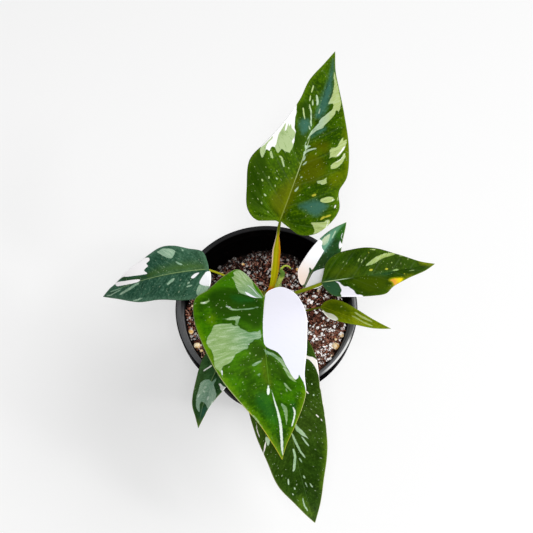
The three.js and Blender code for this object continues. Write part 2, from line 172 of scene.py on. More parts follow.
class Recipe(Graph):
    # a geometry tree with named sizes, used once and turned into a plain mesh
    kinds = {int: "NodeSocketInt", float: "NodeSocketFloat", bpy.types.Material: "NodeSocketMaterial"}

    def __init__(self, name, sizes):
        super().__init__(bpy.data.node_groups.new(name, "GeometryNodeTree"))
        face = self.tree.interface
        face.new_socket(name="Shape", in_out="INPUT", socket_type="NodeSocketGeometry")
        face.new_socket(name="Shape", in_out="OUTPUT", socket_type="NodeSocketGeometry")
        self.names = {}
        for key, value in sizes.items():
            socket = face.new_socket(name=key, in_out="INPUT", socket_type=self.kinds[type(value)])
            self.names[key] = socket.identifier
        self.sizes = sizes
        self.given = self.tree.nodes.new("NodeGroupInput")

    def size(self, key):
        return Wire(self, self.given.outputs[key])

    def smooth(self, shape, domain, sockets):
        return self.add("GeometryNodeSetShadeSmooth", {"domain": domain}, {"Geometry": shape, **sockets})

    def turned(self, turn):
        return self.add("FunctionNodeEulerToRotation", {}, {0: turn})

    def make(self, name, base, shape, material):
        # ends the tree, runs it on the base object and keeps the result alone
        shape = self.add("GeometryNodeRealizeInstances", {}, {"Geometry": shape})
        shape = self.add("GeometryNodeSetMaterial", {}, {"Geometry": shape, "Material": material})
        self.tree.links.new(shape.socket, self.tree.nodes.new("NodeGroupOutput").inputs[0])
        modifier = base.modifiers.new(name, "NODES")
        modifier.node_group = self.tree
        for key, value in self.sizes.items():
            modifier[self.names[key]] = value
        evaluated = base.evaluated_get(bpy.context.evaluated_depsgraph_get())
        mesh = bpy.data.meshes.new_from_object(evaluated)
        base.modifiers.clear()
        bpy.data.objects.remove(base)
        return placed(name, mesh)


# Mesh helpers

def placed(name, data):
    thing = bpy.data.objects.new(name, data)
    scene.collection.objects.link(thing)
    return thing


def polyline(name, points):
    # an open line of edges through points in millimetres
    mesh = bpy.data.meshes.new(name)
    mesh.from_pydata((np.asarray(points) * mm).tolist(), [(i, i + 1) for i in range(len(points) - 1)], [])
    return placed(name, mesh)


def weld(points, faces):
    # joins points in the same place and drops the corners and faces that this closes up
    keys = np.round(np.asarray(points) * 1e4).astype(np.int64)
    _, first, index = np.unique(keys, axis=0, return_index=True, return_inverse=True)
    index = index.reshape(-1)
    kept = []
    for face in faces:
        corners = []
        for corner in (index[c] for c in face):
            if corner not in corners:
                corners.append(corner)
        if len(corners) > 2:
            kept.append(corners)
    return first, kept


def meshPiece(name, points, faces, material=None, attributes=None):
    # points in millimetres; attributes are numbers or vectors, one for each point
    first, kept = weld(points, faces)
    mesh = bpy.data.meshes.new(name)
    mesh.from_pydata((np.asarray(points)[first] * mm).tolist(), [], kept)
    for key, values in (attributes or {}).items():
        values = np.asarray(values, float)[first]
        kind, field = ("FLOAT", "value") if values.ndim == 1 else ("FLOAT_VECTOR", "vector")
        mesh.attributes.new(key, kind, "POINT").data.foreach_set(field, values.reshape(-1))
    mesh.polygons.foreach_set("use_smooth", [True] * len(mesh.polygons))
    if material:
        mesh.materials.append(material)
    mesh.validate()
    return placed(name, mesh)


def splineThrough(points, samples=12, closed=False):
    # a smooth curve through the points, as a dense row of points
    points = np.asarray(points, float)
    count = len(points)
    t = np.linspace(0, 1, samples, endpoint=False)[:, None]
    rows = []
    for i in range(count if closed else count - 1):
        index = np.arange(i - 1, i + 3)
        index = index % count if closed else np.clip(index, 0, count - 1)
        before, start, end, after = points[index]
        leave, arrive = (end - before) / 2, (after - start) / 2
        rows.append((2 * start - 2 * end + leave + arrive) * t ** 3
                    + (3 * end - 3 * start - 2 * leave - arrive) * t ** 2 + leave * t + start)
    if not closed:
        rows.append(points[-1:])
    return np.concatenate(rows)


def evenly(points, count):
    # the same curve cut into equal lengths
    lengths = np.concatenate([[0], np.cumsum(np.linalg.norm(np.diff(points, axis=0), axis=1))])
    wanted = np.linspace(0, lengths[-1], count)
    return np.stack([np.interp(wanted, lengths, points[:, k]) for k in range(points.shape[1])], 1)


def unit(vectors):
    return vectors / np.maximum(np.linalg.norm(vectors, axis=-1, keepdims=True), 1e-12)


def tubeFaces(rings, sides):
    # side faces of a row of rings, closed by a fan at each end
    faces = []
    for i in range(rings - 1):
        for k in range(sides):
            a, b = i * sides + k, i * sides + (k + 1) % sides
            faces.append((a, b, b + sides, a + sides))
    faces.append(tuple(range(sides - 1, -1, -1)))
    faces.append(tuple((rings - 1) * sides + k for k in range(sides)))
    return faces


def rideOn(piece, slot, *nodes):
    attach(piece, "root")
    if nodes:
        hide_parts(*nodes)


# Pot: a nursery pot with a deep collar, turned from its profile

potSizes = {
    "Rim radius": 60 * mm,
    "Sides": 160,
    "Corner round": 0.35 * mm,
    "Drain holes": 8,
    "Drain radius": 4.5 * mm,
    "Drain ring": 31 * mm,
    "Hole turn": pi / 8,
}
wall, footRadius, footHeight, channelRadius, channelHeight = 1.2, 42.0, 3.0, 57.2, 102.8
taper = (channelRadius - footRadius) / (channelHeight - footHeight)


def potOuter(height):
    return footRadius + taper * (height - footHeight)


def potInner(height):
    return potOuter(height) - wall


potProfile = [
    (0, 0), (30, 0), (38, 0), (41.2, 0.8), (footRadius, footHeight), (potOuter(40), 40), (potOuter(91), 91),
    (channelRadius, channelHeight), (58.7, channelHeight), (58.1, 92), (59.4, 92), (59.55, 95), (60, 103.6),
    (59.85, 104.2), (59.3, 104.65), (58.5, 104.9), (57.8, 105), (56.8, 105), (potInner(103.8), 103.8),
    (potInner(100), 100), (potInner(99.4) - 0.45, 99.4), (potInner(97.6) - 0.45, 97.6), (potInner(97), 97),
    (potInner(80), 80), (potInner(40), 40), (potInner(4), 4), (potInner(3) - 1.6, 1.6), (30, 1.6), (0, 1.6),
]


def potFinish():
    g = Finish("moulded black plastic", Specular_IOR_Level=0.0, Coat_Roughness=0.16)
    x, y, z = g.parts(g.place)
    radius = (x * x + y * y).math("SQRT")
    angle = y.math("ARCTAN2", x)
    wrapped = g.add("ShaderNodeCombineXYZ", {}, {0: angle * 3.0, 1: z * 60, 2: radius * 60})
    cloud = g.noise(g.place, 26, 3)
    fine = g.noise(g.place, 1400, 2)
    flow = g.noise(g.scaled(wrapped, 1, 14, 14), 1.0, 3)
    dust = g.noise(g.place, 210, 5, 0.7).steps(0.5, 0.78) * cloud.steps(0.35, 0.7)
    inner = (radius - z * taper - 41.2 * mm).steps(0.2 * mm, -0.6 * mm)
    fromBack = y.steps(46 * mm, 12 * mm)
    # painted reflection: the top of the lip is painted grey, only faintly at the back and less at the front
    # left
    paintedLipSheen = z.steps(104.1 * mm, 104.7 * mm) * (0.15 + 0.85 * fromBack)
    paintedLipSheen = paintedLipSheen * (1 - 0.6 * y.steps(-38 * mm, -50 * mm) * x.steps(10 * mm, -15 * mm))
    # painted light: a pale grey band on the upper inner wall at the front
    paintedLightBand = inner * y.steps(8 * mm, -10 * mm) * z.steps(91 * mm, 97 * mm)
    # painted highlight: a near-white band on the outer rounding of the lip at the lower right
    paintedRimHighlight = angle.steps(-0.98, -0.78) * angle.steps(-0.3, -0.48) * z.steps(103.4 * mm, 104 * mm)
    scuff = g.noise(g.scaled(wrapped, 2, 60, 4), 1.0, 3).steps(0.66, 0.8) * (1 - inner)
    colour = g.coats(g.blend(cloud, rgb(10, 10, 11), rgb(20, 20, 22)),
                     # painted shade: the inside wall is painted darker than the outside
                     (inner * 0.95, rgb(4, 3, 3)),
                     (paintedLightBand, rgb(122, 122, 125)),
                     (paintedLipSheen * (0.7 + 0.3 * flow), rgb(104, 104, 107)),
                     (dust * (0.1 - 0.06 * inner), rgb(112, 92, 80)),
                     (paintedRimHighlight * radius.steps(57.9 * mm, 58.2 * mm) * 0.9, rgb(226, 226, 226)),
                     (radius.steps(59.15 * mm, 59.4 * mm), rgb(8, 8, 9)),
                     (scuff * 0.16, rgb(120, 120, 122)))
    outer = z.steps(90 * mm, 93 * mm) * (1 - inner)
    gloss = outer * x.steps(-12 * mm, 18 * mm) * fromBack * y.steps(-36 * mm, -16 * mm)
    sheen = 0.2 * (1 - inner) * y.steps(-44 * mm, -24 * mm)
    g.give(Base_Color=colour, Roughness=0.52 + 0.14 * cloud + 0.25 * dust + 0.25 * inner - 0.3 * gloss,
           Coat_Weight=sheen + gloss * (0.6 + 0.2 * cloud))
    g.bump(fine * 0.25 + flow * 0.9 + scuff * 0.2, 0.12 * mm, 0.6)
    return g.material


def makePot():
    # the rail turns the profile's own height downwards, so both its height and its direction are reversed
    points = [(radius - potSizes["Rim radius"] / mm, -height, 0) for radius, height in reversed(potProfile)]
    base = polyline("profile", points)
    g = Recipe("turned pot", {**potSizes, "Finish": potFinish()})
    profile = g.add("GeometryNodeMeshToCurve", {}, {"Mesh": g.size("Shape")})
    profile = g.add("GeometryNodeFilletCurve", {"mode": "POLY"},
                    {"Curve": profile, "Count": 3, "Radius": g.size("Corner round"), "Limit Radius": True})
    rail = g.add("GeometryNodeCurvePrimitiveCircle", {},
                 {"Resolution": g.size("Sides"), "Radius": g.size("Rim radius")})
    rail = g.add("GeometryNodeSetCurveNormal", {"mode": "Z_UP"}, {"Curve": rail})
    body = g.add("GeometryNodeCurveToMesh", {}, {"Curve": rail, "Profile Curve": profile})
    body = g.add("GeometryNodeMergeByDistance", {}, {"Geometry": body, "Distance": 0.01 * mm})
    ring = g.add("GeometryNodeMeshCircle", {},
                 {"Vertices": g.size("Drain holes"), "Radius": g.size("Drain ring")})
    turn = g.add("ShaderNodeCombineXYZ", {}, {"Z": g.size("Hole turn")})
    ring = g.add("GeometryNodeTransform", {}, {"Geometry": ring, "Rotation": g.turned(turn)})
    drill = g.add("GeometryNodeMeshCylinder", {},
                  {"Vertices": 32, "Radius": g.size("Drain radius"), "Depth": 12 * mm})
    drills = g.add("GeometryNodeInstanceOnPoints", {}, {"Points": ring, "Instance": drill})
    drills = g.add("GeometryNodeRealizeInstances", {}, {"Geometry": drills})
    body = g.add("GeometryNodeMeshBoolean", {"operation": "DIFFERENCE", "solver": "EXACT"},
                 {"Mesh 1": body, "Mesh 2": drills})
    sharp = g.add("GeometryNodeInputMeshEdgeAngle") > radians(38)
    body = g.smooth(body, "FACE", {"Shade Smooth": True})
    body = g.smooth(body, "EDGE", {"Selection": sharp, "Shade Smooth": False})
    pot = g.make("nursery_pot", base, body, g.size("Finish"))
    rideOn(pot, "pot_black", "pot")
    print("pot turned:", len(pot.data.polygons), "faces")


makePot()


# Potting mix: a plug that fills the pot, with bark, coir, perlite and feed grains scattered over its top

mixSizes = {
    "height": 81.0,
    "bank": 14.0,  # the mix climbs this far up the wall at the front
    "bank start": 22.0,
    "bank ends": (-30.0, 6.0),
    "gap": 0.12,
    "rings": 44,
    "sides": 144,
    "sink": 1.1,  # the plug's top lies this far below the chips
}
feedGrains = [  # place and half width of the larger feed grains
    (-45.4, -24.9, 2.1), (45.2, -25.6, 2.4), (-49.6, -15.8, 1.7), (49.4, -17.6, 1.4), (45.6, -20.4, 1.0),
    (-49.5, 3.5, 1.0), (-42.5, -28.6, 1.1), (21.5, 37.0, 1.1), (-31.0, 33.5, 1.0), (42.0, -31.5, 0.9),
    (12.0, -40.5, 1.1), (-16.5, 41.0, 1.0), (36.0, 19.5, 1.0), (-28.5, -37.0, 1.3),
]


def smoothShare(value):
    value = np.clip(value, 0, 1)
    return value * value * (3 - 2 * value)


def mixSurface(x, y):
    start, (back, front) = mixSizes["bank start"], mixSizes["bank ends"]
    outwards = smoothShare((np.hypot(x, y) - start) / (potInner(mixSizes["height"]) - start))
    bank = mixSizes["bank"] * outwards * smoothShare((-y - back) / (front - back))
    swell = 1.1 * np.sin(0.11 * x + 0.9) * np.cos(0.13 * y - 0.4)
    clods = 0.8 * np.sin(0.47 * x - 0.31 * y + 1.7) + 0.6 * np.sin(0.62 * y + 0.28 * x)
    return mixSizes["height"] + swell + clods + 2.5 * np.exp(-(x * x + y * y) / 300) + bank


def mixEdge(across, ahead):
    # the wall leans outwards, so a higher edge lies further out
    radius = potInner(mixSizes["height"])
    for _ in range(4):
        radius = potInner(mixSurface(radius * across, radius * ahead) - mixSizes["sink"]) - mixSizes["gap"]
    return radius


def makeMix():
    rings, sides = mixSizes["rings"], mixSizes["sides"]
    turns = np.linspace(0, 2 * pi, sides, endpoint=False)
    across, ahead, gap = np.sin(turns), -np.cos(turns), mixSizes["gap"]
    points = []
    for radius, height in ((potInner(3) - 1.8, 1.75), (potInner(4.3) - gap, 4.3), (potInner(40) - gap, 40)):
        points.append(np.stack([radius * across, radius * ahead, np.full(sides, height)], 1))
    edge = mixEdge(across, ahead)
    for j in range(rings, 0, -1):
        x, y = edge * across * j / rings, edge * ahead * j / rings
        rough = 0.45 * np.sin(2.1 * x + 1.3 * np.sin(1.7 * y)) * np.cos(1.9 * y + 0.8 * np.sin(2.3 * x))
        points.append(np.stack([x, y, mixSurface(x, y) - mixSizes["sink"] + rough], 1))
    points = np.concatenate(points)
    plug = meshPiece("potting_mix", points, tubeFaces(rings + 3, sides), mixFinish())
    rideOn(plug, "potting_mix", "soil")
    top = bpy.data.meshes.new("mix top")
    top.from_pydata((points[4 * sides:] * mm).tolist(), [], tubeFaces(rings - 1, sides)[:-2])
    return top


def mixFinish():
    g = Finish("damp peat", Specular_IOR_Level=0.15)
    crumb = g.noise(g.place, 900, 4, 0.7)
    patch = g.noise(g.place, 120, 3)
    colour = g.blend(crumb.steps(0.35, 0.7), rgb(6, 3, 2), rgb(34, 18, 12))
    colour = g.blend(patch.steps(0.5, 0.75) * 0.3, colour, rgb(60, 32, 20))
    g.give(Base_Color=colour, Roughness=0.86 + 0.1 * crumb)
    g.bump(crumb, 0.5 * mm)
    return g.material


def paintedShadeAtBack(x, y):
    # painted shade: the mix is painted dark under the back wall and a little over the back half
    out = (x * x + y * y).math("SQRT")
    return out.steps(38 * mm, 53 * mm) * y.steps(4 * mm, 24 * mm) * 0.75 + y.steps(0.0, 45 * mm) * 0.2


def barkFinish():
    g = Finish("bark and coir", Specular_IOR_Level=0.18)
    x, y, _ = g.parts(g.place)
    grain = g.noise(g.scaled(g.place, 1, 1, 2.5), 1300, 4, 0.65)
    cloud = g.noise(g.place, 330, 2)
    tone = g.add("ShaderNodeValToRGB", {"stops": [
        (0.0, rgb(6, 3, 3)), (0.3, rgb(22, 10, 8)), (0.46, rgb(66, 30, 23)), (0.62, rgb(132, 68, 52)),
        (0.8, rgb(196, 122, 98)), (1.0, rgb(240, 206, 186)),
    ]}, {"Fac": g.attribute("tint") * 0.9 + 0.7 * (cloud - 0.42)})
    colour = g.coats(tone,
                     (grain.steps(0.4, 0.66) * 0.7, rgb(14, 7, 6)),
                     # painted light: the bark is painted lighter towards the front right
                     ((x - y).steps(5 * mm, 75 * mm) * 0.4 * grain.steps(0.6, 0.45), rgb(176, 122, 98)),
                     (paintedShadeAtBack(x, y), rgb(10, 6, 5)))
    g.give(Base_Color=colour, Roughness=0.7 + 0.25 * grain)
    g.bump(grain, 0.25 * mm)
    return g.material


def perliteFinish():
    g = Finish("perlite", Specular_IOR_Level=0.3, Emission_Strength=1.0)
    x, y, _ = g.parts(g.place)
    pore = g.cells(g.place, 1500)
    stain = g.noise(g.place, 380, 3).steps(0.48, 0.75)
    # painted shade: damp holds the shade painted under the back wall, and shade greys the perlite towards the
    # back left
    damp = paintedShadeAtBack(x, y)
    shade = (x - y).steps(30 * mm, -25 * mm)
    colour = g.coats(g.blend(g.attribute("tint"), rgb(246, 241, 239), rgb(255, 254, 254)),
                     (stain * 0.1, rgb(170, 132, 112)),
                     (pore.steps(0.35, 0.1) * 0.15, rgb(160, 148, 140)),
                     (shade * 0.55, rgb(150, 138, 132)),
                     (damp, rgb(70, 62, 58)))
    # painted light: the perlite glows, least where shade is painted at the back
    paintedGlow = g.blend(damp.most(shade), (0.3, 0.3, 0.3, 1), (0.03, 0.03, 0.03, 1))
    g.give(Base_Color=colour, Roughness=0.75 + 0.2 * pore, Emission_Color=paintedGlow)
    g.bump(pore, 0.3 * mm)
    return g.material


def feedFinish():
    g = Finish("feed grain shell", Specular_IOR_Level=0.4, Emission_Strength=1.0)
    cloud = g.noise(g.place, 420, 3)
    pits = g.noise(g.place, 1500, 3, 0.7)
    pale = cloud.steps(0.35, 0.6)
    colour = g.blend(pale, rgb(232, 176, 92), rgb(254, 238, 204))
    colour = g.blend(pits.steps(0.6, 0.8) * 0.6, colour, rgb(168, 104, 46))
    # painted light: the grains glow, more where they are pale
    paintedGlow = g.blend(pale, (0.1, 0.05, 0.01, 1), (0.2, 0.16, 0.1, 1))
    g.give(Base_Color=colour, Roughness=0.45 + 0.2 * cloud, Emission_Color=paintedGlow)
    g.bump(pits, 0.12 * mm)
    return g.material


def pellet(g, stretch):
    ball = g.add("GeometryNodeMeshIcoSphere", {}, {"Radius": 1.0, "Subdivisions": 1})
    return g.add("GeometryNodeTransform", {}, {"Geometry": ball, "Scale": stretch})


def strand(g, size):
    counts = {"Vertices X": 3, "Vertices Y": 2, "Vertices Z": 2}
    return g.add("GeometryNodeMeshCube", {}, {"Size": size, **counts})


def scatter(name, top, sizes, shape, form, finish, crowded=False):
    # throws copies of one small shape over the mix, each with its own turn, size and tint, then roughens them
    base = placed(name + " ground", top.copy())
    g = Recipe(name, {**sizes, "Finish": finish})

    def draw(shift, low=0.0, high=1.0):
        seed = {"Seed": sizes["Seed"] + shift}
        if np.ndim(low):
            return g.add("FunctionNodeRandomValue", {"data_type": "FLOAT_VECTOR"}, {0: low, 1: high, **seed})
        return g.add("FunctionNodeRandomValue", {"data_type": "FLOAT"}, {2: low, 3: high, **seed}, 1)

    density = g.size("Per square metre")
    if crowded:
        ground = g.add("GeometryNodeInputPosition")
        x, y, _ = g.parts(ground)
        clumps = 0.2 + g.noise(ground, 230, 2).steps(0.44, 0.6) * 2.0
        density = density * (clumps * (0.65 + 0.15 * (x - y).steps(0.0, 60 * mm)))
    points = g.add("GeometryNodeDistributePointsOnFaces", {},
                   {"Mesh": g.size("Shape"), "Density": density, "Seed": g.size("Seed")})
    turn = draw(1, (-0.7, -0.7, 0.0), (0.7, 0.7, 2 * pi))
    spread = draw(2) ** (2.6 if crowded else 1.8)
    reach = g.size("Smallest") + (g.size("Largest") - g.size("Smallest")) * spread
    shapes = g.add("GeometryNodeInstanceOnPoints", {},
                   {"Points": points, "Instance": shape(g, form), "Rotation": g.turned(turn),
                    "Scale": g.same(reach)})
    raised = g.add("ShaderNodeCombineXYZ", {}, {2: g.size("Heap") * draw(3)})
    shapes = g.add("GeometryNodeTranslateInstances", {},
                   {"Instances": shapes, "Translation": raised, "Local Space": False})
    shapes = g.add("GeometryNodeStoreNamedAttribute", {"data_type": "FLOAT", "domain": "INSTANCE"},
                   {"Geometry": shapes, "Name": "tint", "Value": draw(4)})
    shapes = g.add("GeometryNodeRealizeInstances", {}, {"Geometry": shapes})
    here = g.add("GeometryNodeInputPosition")
    wobble = g.vector("SUBTRACT", g.noise(here, 620, 2, out=1), (0.5, 0.5, 0.5))
    push = g.vector("MULTIPLY", wobble, g.same(g.size("Roughen")))
    shapes = g.add("GeometryNodeSetPosition", {}, {"Geometry": shapes, "Offset": push})
    shapes = g.smooth(shapes, "FACE", {"Shade Smooth": False})
    rideOn(g.make(name, base, shapes, g.size("Finish")), "potting_mix")


crumbSizes = {"Per square metre": 760000.0, "Smallest": 0.35 * mm, "Largest": 1.15 * mm, "Heap": 1.8 * mm,
              "Roughen": 0.7 * mm, "Seed": 11}
shredSizes = {"Per square metre": 560000.0, "Smallest": 0.35 * mm, "Largest": 1.35 * mm, "Heap": 2.9 * mm,
              "Roughen": 0.5 * mm, "Seed": 31}
perliteSizes = {"Per square metre": 360000.0, "Smallest": 0.25 * mm, "Largest": 1.5 * mm, "Heap": 3.0 * mm,
                "Roughen": 1.5 * mm, "Seed": 57}

mixTop = makeMix()
bark = barkFinish()
scatter("bark_crumbs", mixTop, crumbSizes, pellet, (1.25, 0.8, 0.6), bark)
scatter("bark_shreds", mixTop, shredSizes, strand, (3.6, 0.62, 0.34), bark)
scatter("perlite_grains", mixTop, perliteSizes, pellet, (1.2, 0.8, 0.6), perliteFinish(), crowded=True)


def makeFeedGrains():
    rng = np.random.default_rng(5)
    points, faces = [], []
    sides, rings = 16, 11
    for x, y, size in feedGrains:
        start = len(points)
        centre = np.array([x, y, mixSurface(x, y) + 0.9 * size])
        wave = rng.uniform(0, 6, 3)
        for i in range(rings):
            polar = pi * (0.02 + 0.96 * i / (rings - 1))
            for k in range(sides):
                around = 2 * pi * k / sides
                out = np.array([sin(polar) * cos(around), sin(polar) * sin(around), -cos(polar)])
                bulge = 1 + 0.09 * np.sin(3 * out + wave).sum()
                points.append(centre + out * size * bulge * (1, 0.88, 0.82))
        faces += [tuple(c + start for c in f) for f in tubeFaces(rings, sides)]
    piece = meshPiece("feed_grains", points, faces, feedFinish())
    rideOn(piece, "potting_mix")


makeFeedGrains()
print("potting mix laid")


# Stem: short and thick, ringed where each leaf leaves it

stemSizes = {
    "foot": 60.0, "top": 124.0, "foot radius": 4.2, "top radius": 3.0, "taper start": 46.0,
    "rings": 150, "sides": 40, "nodes": [88, 92, 97, 103, 108, 119, 122],
}


def stemFinish():
    g = Finish("green stem", Specular_IOR_Level=0.35)
    _, _, z = g.parts(g.place)
    ring = g.attribute("ring")
    streak = g.noise(g.scaled(g.place, 5, 5, 0.6), 260, 4, 0.6)
    blush = g.noise(g.place, 95, 3)
    colour = g.coats(g.blend(streak.steps(0.3, 0.75), rgb(88, 104, 18), rgb(150, 158, 48)),
                     (blush.steps(0.5, 0.75) * 0.7, rgb(176, 170, 120)),
                     (ring.steps(0.35, 0.9) * 0.85, rgb(170, 84, 28)),
                     (z.steps(96 * mm, 84 * mm) * 0.75, rgb(96, 66, 40)))
    g.give(Base_Color=colour, Roughness=0.42 + 0.25 * streak)
    g.bump(streak + ring * 0.3, 0.2 * mm)
    return g.material


def makeStem():
    s = stemSizes
    heights = np.linspace(s["foot"], s["top"], s["rings"])
    turns = np.linspace(0, 2 * pi, s["sides"], endpoint=False)
    share = (heights - s["taper start"]) / (s["top"] - s["taper start"])
    radius = s["foot radius"] + (s["top radius"] - s["foot radius"]) * share
    ring = np.zeros_like(heights)
    for node in s["nodes"]:
        ring = np.maximum(ring, np.exp(-((heights - node + 1.5) / 0.8) ** 2))
    radius = radius - 0.1 + 0.42 * ring
    radius *= np.sqrt(np.clip((s["top"] + 0.02 - heights) / 2.0, 0, 1))
    points = []
    for z, r in zip(heights, radius):
        girth = r * (1 + 0.018 * np.sin(5 * turns + z * 0.05) + 0.012 * np.sin(9 * turns - z * 0.11))
        points.append(np.stack([girth * np.cos(turns), girth * np.sin(turns), np.full(s["sides"], z)], 1))
    stem = meshPiece("stem_core", np.concatenate(points), tubeFaces(s["rings"], s["sides"]), stemFinish(),
                     {"ring": np.repeat(ring, s["sides"])})
    rideOn(stem, "stem_green", "stem")


makeStem()
print("stem made")


# Leaves. Each has its own frame: base is the petiole's joint, heading turns from +Y towards +X and by sweep
# up to the tip, rise and droop are the midrib's pitch at its ends. Fold and arch are given for the left and
# the right half, ripple as its height, its waves and where they start in each half. Left and right are the
# outline of each half, as (across, along) in millimetres. Of the marks in the same millimetres, a list is
# an outline, a number with a list is the width of a streak through its points, and a bare place is a fleck.
# "midrib" is how bright its line is and how far it shows. A stalk leaves the stem at "height" with the
# heading and pitch of "leave", meets the blade at the pitch "arrive", and "reach" is how far each end pulls.

usualLeaf = {  # what a leaf has where it says nothing else
    "slot": "leaf_dark",
    "roll": 0,
    "jag": 1.0,  # how far the marks fray
    "mottled": 1.0,
    "ribWarm": 0.4,
    "dotShow": 0.75,
    "whiteGlowShare": 0.0,  # how much of the white glows with painted light
    "hem": (rgb(126, 148, 50), 0.5),
}
usualStalk = {"sheath": 0.3, "flare": 1.8, "waist": 0}
usualTones = {  # colour and strength of the soft zones
    "deep": (rgb(26, 58, 34), 0.8),
    "teal": (rgb(48, 98, 62), 0.6),
    "olive": (rgb(84, 92, 8), 0.6),
    "lime": (rgb(128, 150, 8), 0.6),
}

